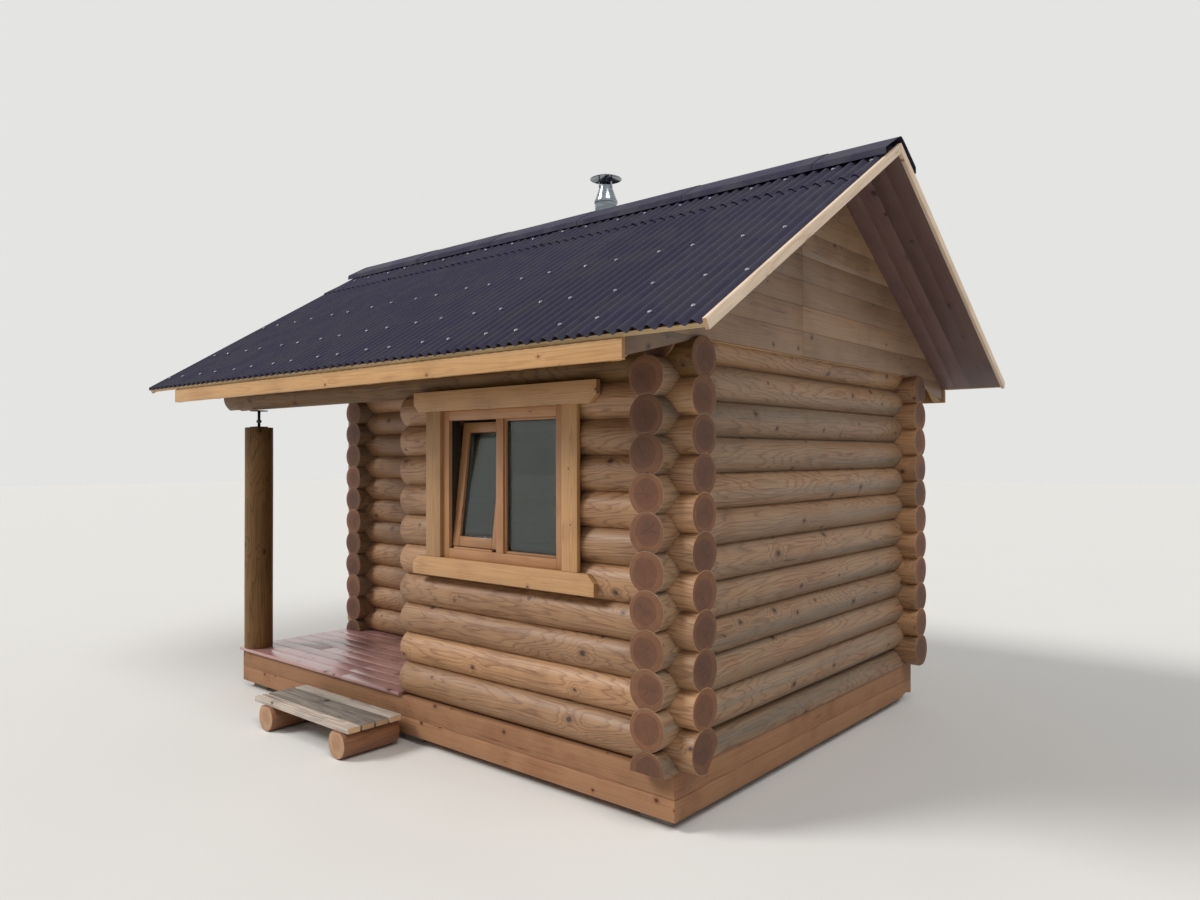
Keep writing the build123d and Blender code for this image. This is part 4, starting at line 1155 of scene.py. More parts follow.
@dataclass
class LogWalls(Assembly):
    """All round logs, each grooved over the log below, with eased ends.

    The lowest front log is torn at its far end: each pair is a way from that end and how deep
    the tear is there.
    """

    radius: float = 106 * MM
    sill_radius: float = 114 * MM
    settling: float = 20 * MM
    plate_bevel: float = 19 * MM
    station: float = 0.2
    stray: float = 0.5 * MM
    edge: float = 3.5 * MM
    least_drop: float = 100 * MM
    least_cover: float = 50 * MM
    tear_way: Pair = (0.8, -0.6)
    tear: tuple[Pair, ...] = (
        (150 * MM, 0.5 * MM),
        (100 * MM, 12 * MM),
        (60 * MM, 16 * MM),
        (20 * MM, 34 * MM),
        (0.0, 36 * MM),
    )

    def radius_of(self, box: Box, across: int) -> float:
        """The radius of the log in a box: the sill logs are thicker than the rest."""
        return self.sill_radius if box.size[across] > 2 * self.radius + 5 * MM else self.radius

    def lay(
        self,
        shell: Shell,
        way: Along,
        box: Box,
        below: Pair | None,
        planes: tuple[Plane2, ...] = (),
        notch: tuple[float, float, Plane2] | None = None,
        top_cut: float = 0.0,
        torn: bool = False,
    ) -> None:
        """Lays one log.

        Args:
            shell: the piece that the log goes into.
            way: the log's direction.
            box: the log's box in the frame, for its ends and its line.
            below: the drop to the log below and that log's radius.
            planes: straight cuts along its whole length.
            notch: a cut between two places along it, as at a window's edge.
            top_cut: how much lower the box ends than the whole log would.
            torn: whether the lower corner of its far end has split away.
        """
        axis = way.axis
        radius = self.radius_of(box, 1 - axis)
        low, high = box.low[axis], box.high[axis]
        origin = np.where(np.arange(3) == axis, 0, box.middle)
        origin[2] = box.high[2] - radius + top_cut
        shares = np.linspace(0, 1, max(3, int((high - low) / self.station) + 1))
        plan = [(share, planes) for share in shares]
        inside = 0.0
        if notch:
            first, last = ((side - low) / (high - low) for side in notch[:2])
            step = 0.2 * MM / (high - low)
            cut = (*planes, notch[2])
            outer = [row for row in plan if not first - 2 * step <= row[0] <= last + 2 * step]
            inner = [(row[0], cut) for row in plan if first + 2 * step < row[0] < last - 2 * step]
            edges = [(first - step, planes), (first, cut), (last, cut), (last + step, planes)]
            plan = sorted(outer + inner + edges, key=lambda row: row[0])
            level = notch[2].distance * notch[2].normal[1]
            foot = -planes[0].distance if planes else -radius
            inside = (level + radius) / 2 if notch[2].normal[1] < 0 else min(0.0, (level + foot) / 2)
        if torn:
            splits = [
                (1 - way_back / (high - low), (*planes, Plane2(self.tear_way, radius - depth)))
                for way_back, depth in self.tear
            ]
            plan = sorted(plan[:-1] + splits, key=lambda row: row[0])
        groove = (below[0], below[1] + FIT) if below else None
        outlines = log_sections(radius, groove, [row[1] for row in plan], inside)
        saw = self.random.normal(0, 0.008, 4)
        ends = Ends(Cut(low + 1 * MM, *saw[:2]), Cut(high - 1 * MM, *saw[2:]), self.edge)
        pith = tuple(self.random.normal(0, 12 * MM, 2))
        stray = 0.0 if notch else self.stray
        stations = np.array([row[0] for row in plan])
        shell.sweep(Place.along(way, origin), outlines, ends, stations, self.random, pith, stray)

    def notch_of(self, box: Box, axis: int, opening: Box | None) -> tuple[float, float, Plane2] | None:
        """The cut that an opening's sill or head makes in a log that goes past it.

        Args:
            box: the log's box.
            axis: the coordinate that it runs along.
            opening: the opening's box.

        Returns:
            The cut's two ends along the log and its plane, or None where there is no cut.
        """
        if opening is None or not box.low[axis] < opening.low[axis] < opening.high[axis] < box.high[axis]:
            return None
        radius = self.radius_of(box, 1 - axis)
        centre = box.high[2] - radius
        for level, side in ((opening.low[2] - centre, 1.0), (opening.high[2] - centre, -1.0)):
            if -radius < level < radius:
                return opening.low[axis], opening.high[axis], Plane2((0.0, side), side * level)
        return None

    def wall(self, title: str, way: Along, names: Sequence[str], opening: Box | None = None) -> None:
        """Builds one wall from its nodes' solids.

        Args:
            title: the new piece's name.
            way: the direction of its logs.
            names: the CAD nodes of the wall.
            opening: the window or door that is cut through it.
        """
        boxes = sorted((box for name in names for box in self.solids(name)), key=lambda box: box.high[2])
        axis = way.axis
        shell = Shell(title)
        for index, box in enumerate(boxes):
            centre = box.high[2] - self.radius_of(box, 1 - axis)
            under = [
                other
                for other in boxes[:index]
                if other.high[2] < box.high[2] - self.least_drop
                and other.low[axis] < box.high[axis] - self.least_cover
                and other.high[axis] > box.low[axis] + self.least_cover
            ]
            notch = self.notch_of(box, axis, opening)
            if under:
                lower = self.radius_of(under[-1], 1 - axis)
                below = (centre - (under[-1].high[2] - lower), lower)
                self.lay(shell, way, box, below, (), notch)
            else:
                seat = Plane2((0.0, -1.0), centre - box.low[2])
                self.lay(shell, way, box, None, (seat,), notch, torn=names[0] == "front_wall_logs")
        # The logs along Y face the sides that only the sky lights: their wood is weathered and also painted
        # greyer for that cool sky light.
        wood = LOG_WOOD if way is Along.X else WEATHERED_SKY_LIT_LOG_WOOD
        shell.build("log_wood", self.palette.of(wood, LOG_END), *names)

    def plates(self) -> None:
        """The front plate log, the tie logs and the bevelled rafter plate logs."""
        tops = sorted(box.high[2] for box in self.solids("back_wall_logs"))
        below = (tops[-1] - tops[-2], self.radius)
        bevel = self.radius - self.plate_bevel
        plate_centre = node_box("front_plate_log").high[2] - self.radius + below[0]
        ways = {"front_plate_log": Along.X, "gable_tie_logs": Along.Y, "rafter_plate_logs": Along.X}
        for node, way in ways.items():
            shell = Shell(node.replace("log", "round_log"))
            for box in self.solids(node):
                if node == "rafter_plate_logs":
                    side = math.copysign(1, box.middle[1])
                    plane = Plane2((side * PITCH_SINE, PITCH_COSINE), bevel)
                    low_by = plate_centre + self.radius - box.high[2]
                    self.lay(shell, way, box, below, (plane,), None, low_by)
                else:
                    self.lay(shell, way, box, below)
            # The front plate log takes the post's wood, darkened to paint the shade under the porch roof.
            wood = SHADE_PAINTED_POST_WOOD if node == "front_plate_log" else LOG_WOOD
            shell.build("log_wood", self.palette.of(wood, LOG_END), node)

    def build(self) -> None:
        """Builds every wall."""
        window = node_box("window_frame")
        window = Box(window.low, window.high + np.array((0, 0, self.settling)))
        porch = ("door_sill_log", "porch_back_wall_logs", "door_head_log")
        self.wall("front_wall_round_logs", Along.X, ("front_wall_logs",), window)
        self.wall("back_wall_round_logs", Along.X, ("back_wall_logs",))
        self.wall("porch_back_round_logs", Along.X, porch, node_box("door_frame"))
        self.wall("right_wall_round_logs", Along.Y, ("right_wall_logs",))
        self.wall("left_wall_round_logs", Along.Y, ("left_wall_logs",))
        self.wall("porch_side_round_logs", Along.Y, ("porch_side_wall_logs",))
        self.plates()


@dataclass
class Porch(Assembly):
    """The oiled deck, the round post and the settling jack on it."""

    edge: float = 4 * MM
    gap: float = 1.5 * MM
    stations: int = 12
    plate: float = 8 * MM
    rod_radius: float = 12 * MM
    thread: float = 3 * MM
    nut_radius: float = 20 * MM
    nut_rise: float = 40 * MM
    nut_height: float = 20 * MM

    def deck(self) -> None:
        """The deck boards, butted at scattered joints and ending unevenly over the side of the porch."""
        shell = Shell("deck_boards")
        for box in self.solids("porch_deck"):
            joint = box.low + box.size * (self.random.uniform(0.25, 0.75), 0, 0)
            uneven = np.array((self.random.uniform(0, 4 * MM), 0, 0))
            gap = np.array((self.gap / 2, 0, 0))
            far = joint + box.size * (0, 1, 1)
            self.straight(shell, Box(box.low + uneven, far - gap), self.edge)
            self.straight(shell, Box(joint + gap, box.high), self.edge)
        shell.build("deck_wood", self.palette.of(DECK_WOOD, BOARD_END), "porch_deck")

    def post(self) -> None:
        """The turned post."""
        box = node_box("porch_post")
        outline = log_sections(box.size[0] / 2 - 1 * MM, None, [()], turns=64)[0]
        ends = Ends(Cut(box.low[2]), Cut(box.high[2]), 4 * MM)
        stations = np.linspace(0, 1, self.stations)
        shell = Shell("turned_post")
        pith = (0.01, -0.008)
        shell.sweep(Place.through(Along.Z, box), outline, ends, stations, self.random, pith, 0.5 * MM)
        # The post's wood is darkened to paint the shade under the porch roof.
        shell.build("log_wood", self.palette.of(SHADE_PAINTED_POST_WOOD, LOG_END), "porch_post")

    def jack(self) -> None:
        """The jack: two plates, a threaded rod drawn as rings and a hexagon nut."""
        box = node_box("post_jack")
        bottom, top = box.low[2], box.high[2]
        place = Place.through(Along.Z, box)
        shell = Shell("settling_jack")
        for low in (bottom, top - self.plate):
            shell.board(place, box.size[:2], low, low + self.plate, self.random, 1.5 * MM, 0.5, (0, 0))
        turns = int((top - bottom) / self.thread)
        heights = np.linspace(bottom + 2 * MM, top - 2 * MM, 2 * turns + 1)
        radii = np.where(np.arange(len(heights)) % 2, self.rod_radius, self.rod_radius - self.thread / 2)
        shell.turn(place, np.stack((radii, heights), axis=-1), 24)
        angle = np.radians(np.arange(0, 360, 60))
        hexagon = np.stack((np.cos(angle), np.sin(angle)), axis=-1) * self.nut_radius
        nut = bottom + self.nut_rise
        outline = rounded_polygon(hexagon, 2 * MM)
        ends = Ends(Cut(nut), Cut(nut + self.nut_height), 1.5 * MM)
        shell.sweep(place, outline, ends, SHORT_RUN, self.random, finishes=(0, 0))
        shell.build("dark_steel", self.palette.of(DARK_STEEL), "post_jack")

    def build(self) -> None:
        """Builds the porch."""
        self.deck()
        self.post()
        self.jack()


@dataclass
class Window(Assembly):
    """Frame with a fixed light and an inward-tilted sash, sealed units and the boards round it."""

    face: float = 58 * MM
    mullion: float = 60 * MM
    bead_face: float = 14 * MM
    bead_depth: float = 18 * MM
    bead_recess: float = 12 * MM
    sash_gap: float = 3 * MM
    sash_face: float = 62 * MM
    sash_depth: float = 64 * MM
    sash_recess: float = 22 * MM
    sash_lift: float = 14 * MM
    tilt: float = math.radians(7)
    unit: float = 24 * MM
    glass: float = 4 * MM
    gasket: float = 5 * MM
    slack: float = 0.5 * MM
    chamfer: float = 46 * MM
    seal: float = 1.8 * MM
    strip: float = 12 * MM
    strip_inset: float = 40 * MM

    def ring(
        self,
        shell: Shell,
        place: Place,
        low: Pair,
        high: Pair,
        face: float,
        depth: Pair,
        edge: float,
        finishes: tuple[int, int] = (0, 1),
    ) -> None:
        """Four members round an opening: stiles through, rails between them.

        Args:
            shell: the piece to add to.
            place: width to the right, height inwards through the wall, length upwards.
            low: the left and bottom outer edges.
            high: the right and top outer edges.
            face: the members' width as seen from outside.
            depth: where the members begin and end in the depth.
            edge: the radius of their corners.
            finishes: the material indices of the sides and of the ends.
        """
        middle, thick = (depth[0] + depth[1]) / 2, depth[1] - depth[0]
        tone = self.random.uniform(0.3, 0.7)
        for x in (low[0] + face / 2, high[0] - face / 2):
            stile = place.moved(x, middle, 0.0)
            shell.board(stile, (face, thick), low[1], high[1], self.random, edge, tone, finishes)
        for z in (low[1] + face / 2, high[1] - face / 2):
            rail = Place(place.points(0.0, middle, z), place.height, place.length, place.width)
            ends = (low[0] + face, high[0] - face)
            shell.board(rail, (thick, face), *ends, self.random, edge, tone, finishes)

    def sealed_unit(
        self, glass: Shell, trim: Shell, place: Place, low: Pair, high: Pair, depth: float, cover: float
    ) -> None:
        """Two panes with a spacer between them and a gasket on the outer edge.

        Args:
            glass: the piece of the panes.
            trim: the piece of the spacer and the gasket.
            place: as in ring.
            low: the left and bottom edges of the unit.
            high: the right and top edges of the unit.
            depth: where the unit begins in the depth.
            cover: how much of its edge is covered from outside.
        """
        outline = rectangle(high[0] - low[0] - 2 * self.slack, high[1] - low[1] - 2 * self.slack, 1 * MM)
        ends = Ends(Cut(-self.glass / 2), Cut(self.glass / 2), 0.4 * MM)
        for near in (depth, depth + self.unit - self.glass):
            centre = place.points((low[0] + high[0]) / 2, near + self.glass / 2, (low[1] + high[1]) / 2)
            sheet = Place(centre, place.width, place.length, -place.height)
            glass.sweep(sheet, outline, ends, SHORT_RUN, self.random, finishes=(0, 0))
        between = (depth + self.glass, depth + self.unit - self.glass)
        inner_low = (low[0] + self.slack, low[1] + self.slack)
        inner_high = (high[0] - self.slack, high[1] - self.slack)
        face = cover + self.gasket + 2 * MM
        self.ring(trim, place, inner_low, inner_high, face, between, 0.5 * MM, (0, 0))
        outside = (depth - 2.5 * MM, depth + 0.1 * MM)
        self.ring(trim, place, inner_low, inner_high, cover + self.gasket, outside, 0.5 * MM, (1, 1))

    def joinery(self) -> None:
        """The frame with its mullion and beads, the sash and both sealed units."""
        box = node_box("window_frame")
        centre, front, depth = box.middle[0], box.low[1], box.size[1]
        low, high = (box.low[0], box.low[2]), (box.high[0], box.high[2])
        light = (box.size[0] - 2 * self.face - self.mullion) / 2
        tall = box.size[2] - 2 * self.face
        shift = (self.mullion + light) / 2
        upright = Place.along(Along.Z, (0, front, 0))
        frame = Shell("window_frame_members")
        self.ring(frame, upright, low, high, self.face, (0, depth), self.edge)
        ends = (low[1] + self.face, high[1] - self.face)
        middle = upright.moved(centre, depth / 2, 0.0)
        frame.board(middle, (self.mullion, depth), *ends, self.random, self.edge)
        light_low = (centre + shift - light / 2, low[1] + self.face)
        light_high = (centre + shift + light / 2, high[1] - self.face)
        bead = (self.bead_recess, self.bead_recess + self.bead_depth)
        self.ring(frame, upright, light_low, light_high, self.bead_face, bead, 4 * MM)
        sash_low = (centre - shift - light / 2, light_low[1])
        sash_high = (centre - shift + light / 2, light_high[1])
        lath = upright.points(0.0, self.sash_recess / 2 + 1 * MM, light_low[1] + self.strip / 2)
        lath = Place(lath, upright.height, upright.length, upright.width)
        ends = (sash_low[0] + self.strip_inset, sash_high[0] - self.strip_inset)
        frame.board(lath, (self.sash_recess - 4 * MM, self.strip), *ends, self.random, 2 * MM, 0.6)
        frame.build("window_wood", self.palette.of(WINDOW_WOOD, BOARD_END), "window_frame")

        glass = Shell("sealed_unit_panes")
        trim = Shell("sealed_unit_edges")
        behind = (self.sash_recess + 2 * MM, depth - 4 * MM)
        self.ring(trim, upright, sash_low, sash_high, self.seal, behind, 0.3 * MM, (1, 1))
        self.sealed_unit(glass, trim, upright, light_low, light_high, bead[1] + FIT, self.bead_face)
        sine, cosine = math.sin(self.tilt), math.cos(self.tilt)
        foot = np.array((centre - shift, front + self.sash_recess, light_low[1] + self.sash_lift))
        inwards = np.array((0, cosine, -sine))
        leaning = Place(foot, np.array((1.0, 0, 0)), inwards, np.array((0, sine, cosine)))
        half = light / 2 - self.sash_gap
        rise = tall - self.sash_lift - self.sash_gap
        sash = Shell("tilting_sash")
        self.ring(sash, leaning, (-half, 0), (half, rise), self.sash_face, (0, self.sash_depth), 5 * MM)
        sash.build("window_wood", self.palette.of(WINDOW_WOOD, BOARD_END), "window_sash")
        inset = self.sash_face
        near = (self.sash_depth - self.unit) / 2
        self.sealed_unit(glass, trim, leaning, (inset - half, inset), (half - inset, rise - inset), near, 0.0)
        glass.build("window_glass", self.palette.of(GLASS), "window_panes")
        trim.build("dark_steel", self.palette.of(SPACER, GASKET))

    def hinges(self) -> None:
        """The two dark blocks that the sash turns on."""
        shell = Shell("hinge_blocks")
        for box in self.solids("sash_hinges"):
            self.straight(shell, box, 2 * MM, 0.5)
        shell.build("dark_steel", self.palette.of(DARK_STEEL, DARK_STEEL), "sash_hinges")

    def casing(self) -> None:
        """The side boards, and the bands over and under them with two corners cut off."""
        shell = Shell("window_boards")
        window = node_box("window_frame")
        for box in self.solids("window_casing"):
            width, thick, tall = box.size
            if tall > width:
                self.straight(shell, box, self.edge)
                continue
            over = box.low[2] > window.high[2] - 1 * MM
            share = self.chamfer / width
            stations = np.array((0, share, 0.25, 0.5, 0.75, 1 - share, 1))
            cut = np.array((self.chamfer, 0, 0, 0, 0, 0, self.chamfer))
            low = -tall / 2 + cut * over
            high = tall / 2 - cut * (not over)
            shapes = np.stack([upright_band(thick, *levels, self.edge) for levels in zip(low, high)])
            ends = Ends(Cut(box.low[0]), Cut(box.high[0]), 2 * MM)
            pith = (self.random.uniform(0.06, 0.1), self.random.uniform(-0.02, 0.02))
            shell.sweep(Place.through(Along.X, box), shapes, ends, stations, self.random, pith)
        shell.build("trim_wood", self.palette.of(TRIM_WOOD, BOARD_END), "window_casing")

    def build(self) -> None:
        """Builds the window."""
        self.joinery()
        self.hinges()
        self.casing()


@dataclass
class Door(Assembly):
    """A closed door of upright boards on ledges, with its frame, casing and round grip."""

    face: float = 35 * MM
    stop: float = 14 * MM
    front_board: float = 27 * MM
    board_count: int = 6
    ledge: float = 120 * MM
    ledge_place: float = 200 * MM
    ledge_inset: float = 30 * MM
    grip_radius: float = 15 * MM
    peg_radius: float = 10 * MM
    peg_inset: float = 30 * MM

    def frame(self) -> None:
        """The frame's four members and the stops behind the leaf."""
        box, leaf = node_box("door_frame"), node_box("door_leaf")
        shell = Shell("door_frame_members")
        for near, inset, face in ((box.low[1], 0.0, self.face), (leaf.high[1], self.face, self.stop)):
            margin = np.array((inset, 0, inset))
            outer = Box(np.array((box.low[0], near, box.low[2])) + margin, box.high - margin)
            for axis in (0, 2):
                for side in (0, 1):
                    low, high = outer.low.copy(), outer.high.copy()
                    if side:
                        low[axis] = high[axis] - face
                    else:
                        high[axis] = low[axis] + face
                    if axis == 2:
                        low[0] += face
                        high[0] -= face
                    self.straight(shell, Box(low, high), 2 * MM, 0.5)
        shell.build("window_wood", self.palette.of(WINDOW_WOOD, BOARD_END), "door_frame")

    def leaf(self) -> None:
        """Upright boards with eased joints, and three ledges on the room side."""
        box = node_box("door_leaf")
        shell = Shell("door_leaf_boards")
        edges = np.linspace(box.low[0], box.high[0], self.board_count + 1)
        front = box.low[1] + self.front_board
        for left, right in zip(edges[:-1], edges[1:]):
            low = np.array((left + FIT, box.low[1], box.low[2]))
            self.straight(shell, Box(low, np.array((right - FIT, front, box.high[2]))), 4 * MM)
        for z in (box.low[2] + self.ledge_place, box.middle[2], box.high[2] - self.ledge_place):
            low = np.array((box.low[0] + self.ledge_inset, front, z - self.ledge / 2))
            high = np.array((box.high[0] - self.ledge_inset, box.high[1], z + self.ledge / 2))
            self.straight(shell, Box(low, high), self.edge)
        shell.build("trim_wood", self.palette.of(TRIM_WOOD, BOARD_END), "door_leaf")

    def grip(self) -> None:
        """A round bar on two pegs."""
        box = node_box("door_grip")
        x, front = box.middle[0], box.low[1] + self.grip_radius
        low, high = box.low[2], box.high[2]
        shell = Shell("round_grip")
        r, ease = self.grip_radius, self.edge
        profile = [(r - ease, low), (r, low + ease), (r, high - ease), (r - ease, high)]
        shell.turn(Place.along(Along.Z, (x, front, 0)), profile, 32)
        for z in (low + self.peg_inset, high - self.peg_inset):
            peg = [(self.peg_radius, front), (self.peg_radius, box.high[1])]
            shell.turn(Place.along(Along.Y, (x, 0, z)), peg, 24)
        shell.build("trim_wood", self.palette.of(TRIM_WOOD), "door_grip")

    def casing(self) -> None:
        """The boards round the frame."""
        shell = Shell("door_boards")
        for box in self.solids("door_casing"):
            self.straight(shell, box, self.edge)
        shell.build("trim_wood", self.palette.of(TRIM_WOOD, BOARD_END), "door_casing")

    def build(self) -> None:
        """Builds the door."""
        self.frame()
        self.leaf()
        self.grip()
        self.casing()


@dataclass
class RoofLines:
    """The lines that everything on the roof is set out from."""

    verge_rise: float = 18 * MM
    fascia: float = 25 * MM

    def __post_init__(self) -> None:
        """Reads the ridge height and the eave from the frame."""
        self.apex = node_box("right_verge_boards").high[2] - self.verge_rise / PITCH_COSINE
        self.eave_run = node_box("eave_fascias").high[1]
        self.slope_length = self.eave_run / PITCH_COSINE
        self.inner_run = self.eave_run - self.fascia - FIT

    def run_at(self, height: float, depth: float) -> float:
        """Level run at which the plane depth under the battens' top has a height."""
        return (self.apex - depth / PITCH_COSINE - height) / PITCH_TANGENT

    def height_at(self, run: Any, depth: float) -> Any:
        """Height of the plane depth under the battens' top at a level run."""
        return self.apex - depth / PITCH_COSINE - run * PITCH_TANGENT


@dataclass
class Gables(Assembly):
    """Level boards on the gables, smooth soffits, pale verge boards and the eave fascias."""

    lines: RoofLines = field(default_factory=RoofLines)
    courses: int = 8
    joint: float = -0.34
    batten: float = 22 * MM
    soffit: float = 12 * MM
    soffit_boards: int = 4
    verge_low: float = 34 * MM
    break_run: float = 45 * MM
    break_drop: float = 16 * MM
    wall_run: float = 1430 * MM
    foot_rise: float = 18 * MM
    top_gap: float = 6 * MM
    stations: int = 14

    def cladding(self, node: str) -> None:
        """Level boards between the slopes, each sheared to the roof, and a low foot at each eave.

        Args:
            node: the CAD node that they replace.
        """
        box = node_box(node)
        shell = Shell(node.replace("cladding", "boards"))
        thick, x = box.size[0], box.middle[0]
        bottom = node_box("front_plate_log").high[2] - self.top_gap
        top = self.lines.height_at(0, self.batten) - self.top_gap
        rise = (top - bottom) / self.courses
        lean = 1 / PITCH_TANGENT
        for course in range(self.courses):
            middle = bottom + (course + 0.5) * rise
            reach = self.lines.run_at(middle, self.batten) - 1 * MM
            place = Place.along(Along.Y, (x, 0, middle))
            start, end = Cut(-reach, 0, lean), Cut(reach, 0, -lean)
            parts = [(start, end)]
            if course < self.courses - 2:
                parts = [(start, Cut(self.joint - 0.4 * MM)), (Cut(self.joint + 0.4 * MM), end)]
            for first, last in parts:
                shell.board(place, (thick, rise - 0.5 * MM), first, last, self.random, self.edge)
        for slope in Slope:
            self.foot(shell, x, thick, slope, bottom)
        shell.build("cladding_wood", self.palette.of(CLADDING_WOOD, BOARD_END), node)

    def foot(self, shell: Shell, x: float, thick: float, slope: Slope, bottom: float) -> None:
        """The tapering foot of the boards: between the roof line and a line that falls to the eave.

        Args:
            shell: the piece to add to.
            x: the middle of the boards' thickness.
            thick: the boards' thickness.
            slope: the slope that it lies under.
            bottom: the level bottom of the boards.
        """
        tip_run = self.lines.inner_run
        tip = node_box("eave_fascias").low[2] + self.foot_rise
        turn = self.wall_run + self.break_run
        runs = np.linspace(self.wall_run + 8 * MM, tip_run, self.stations)
        lower = np.interp(runs, (self.wall_run, turn, tip_run), (bottom, bottom - self.break_drop, tip))
        upper = np.minimum(bottom, self.lines.height_at(runs, self.batten) - 1 * MM)
        order = slice(None, None, slope.value)
        runs, lower, upper = slope.value * runs[order], lower[order], upper[order]
        radii = np.minimum(2.5 * MM, (upper - lower) / 4)
        shapes = [upright_band(thick, *row) for row in zip(lower, upper, radii)]
        stations = (runs - runs[0]) / (runs[-1] - runs[0])
        ends = Ends(Cut(runs[0]), Cut(runs[-1]), 0.8 * MM)
        pith = (self.random.uniform(0.05, 0.1), -bottom)
        place = Place.along(Along.Y, (x, 0, 0))
        shell.sweep(place, np.stack(shapes), ends, stations, self.random, pith)

    def sloping(
        self, shell: Shell, box: Box, x: float, size: Pair, depth: float, end: float, edge: float
    ) -> None:
        """A board down a slope, cut plumb at the ridge and square at the eave.

        Args:
            shell: the piece to add to.
            box: a box on the board's slope.
            x: the middle of its width.
            size: its width and thickness.
            depth: how far its middle lies under the battens' top.
            end: where it ends along the slope.
            edge: the radius of its corners.
        """
        place = Place.down_slope(box.slope, x, self.lines.apex, depth)
        start = Cut(depth * PITCH_TANGENT + FIT, 0, -PITCH_TANGENT)
        shell.board(place, size, start, end, self.random, edge)

    def slope_boards(self) -> None:
        """The soffits and the verges."""
        soffits = Shell("soffit_boards")
        for box in self.solids("gable_soffits"):
            width = box.size[0] / self.soffit_boards
            for index in range(self.soffit_boards):
                x = box.low[0] + (index + 0.5) * width
                size = (width - 0.1 * MM, self.soffit)
                end = self.lines.inner_run / PITCH_COSINE
                self.sloping(soffits, box, x, size, self.batten + self.soffit / 2, end, 0.6 * MM)
        soffits.build("soffit_board", self.palette.of(SOFFIT_WOOD, BOARD_END), "gable_soffits")
        depth = (self.verge_low - self.lines.verge_rise) / 2
        for node in ("right_verge_boards", "left_verge_boards"):
            shell = Shell(node.replace("boards", "pine"))
            for box in self.solids(node):
                size = (box.size[0], self.verge_low + self.lines.verge_rise)
                self.sloping(shell, box, box.middle[0], size, depth, self.lines.slope_length, 2 * MM)
            shell.build("verge_wood", self.palette.of(VERGE_WOOD, PALE_END), node)

    def fascias(self) -> None:
        """The eave boards, bevelled to the roof along the top."""
        shell = Shell("fascia_boards")
        for box in self.solids("eave_fascias"):
            thick, tall = box.size[1:]
            half = thick / 2
            outer = tall - thick * PITCH_TANGENT
            tops = (outer, tall) if box.slope is Slope.FRONT else (tall, outer)
            outline = rounded_polygon(((-half, 0), (half, 0), (half, tops[1]), (-half, tops[0])), 2.5 * MM)
            place = Place.along(Along.X, (0, box.middle[1], box.low[2]))
            ends = Ends(Cut(box.low[0]), Cut(box.high[0]), 2 * MM)
            stations = np.linspace(0, 1, self.stations)
            shell.sweep(place, outline, ends, stations, self.random, (0.08, -0.04))
        shell.build("fascia_wood", self.palette.of(FASCIA_WOOD, BOARD_END), "eave_fascias")

    def build(self) -> None:
        """Builds the gables and the boards along the roof's edges."""
        self.cladding("right_gable_cladding")
        self.cladding("left_gable_cladding")
        self.slope_boards()
        self.fascias()


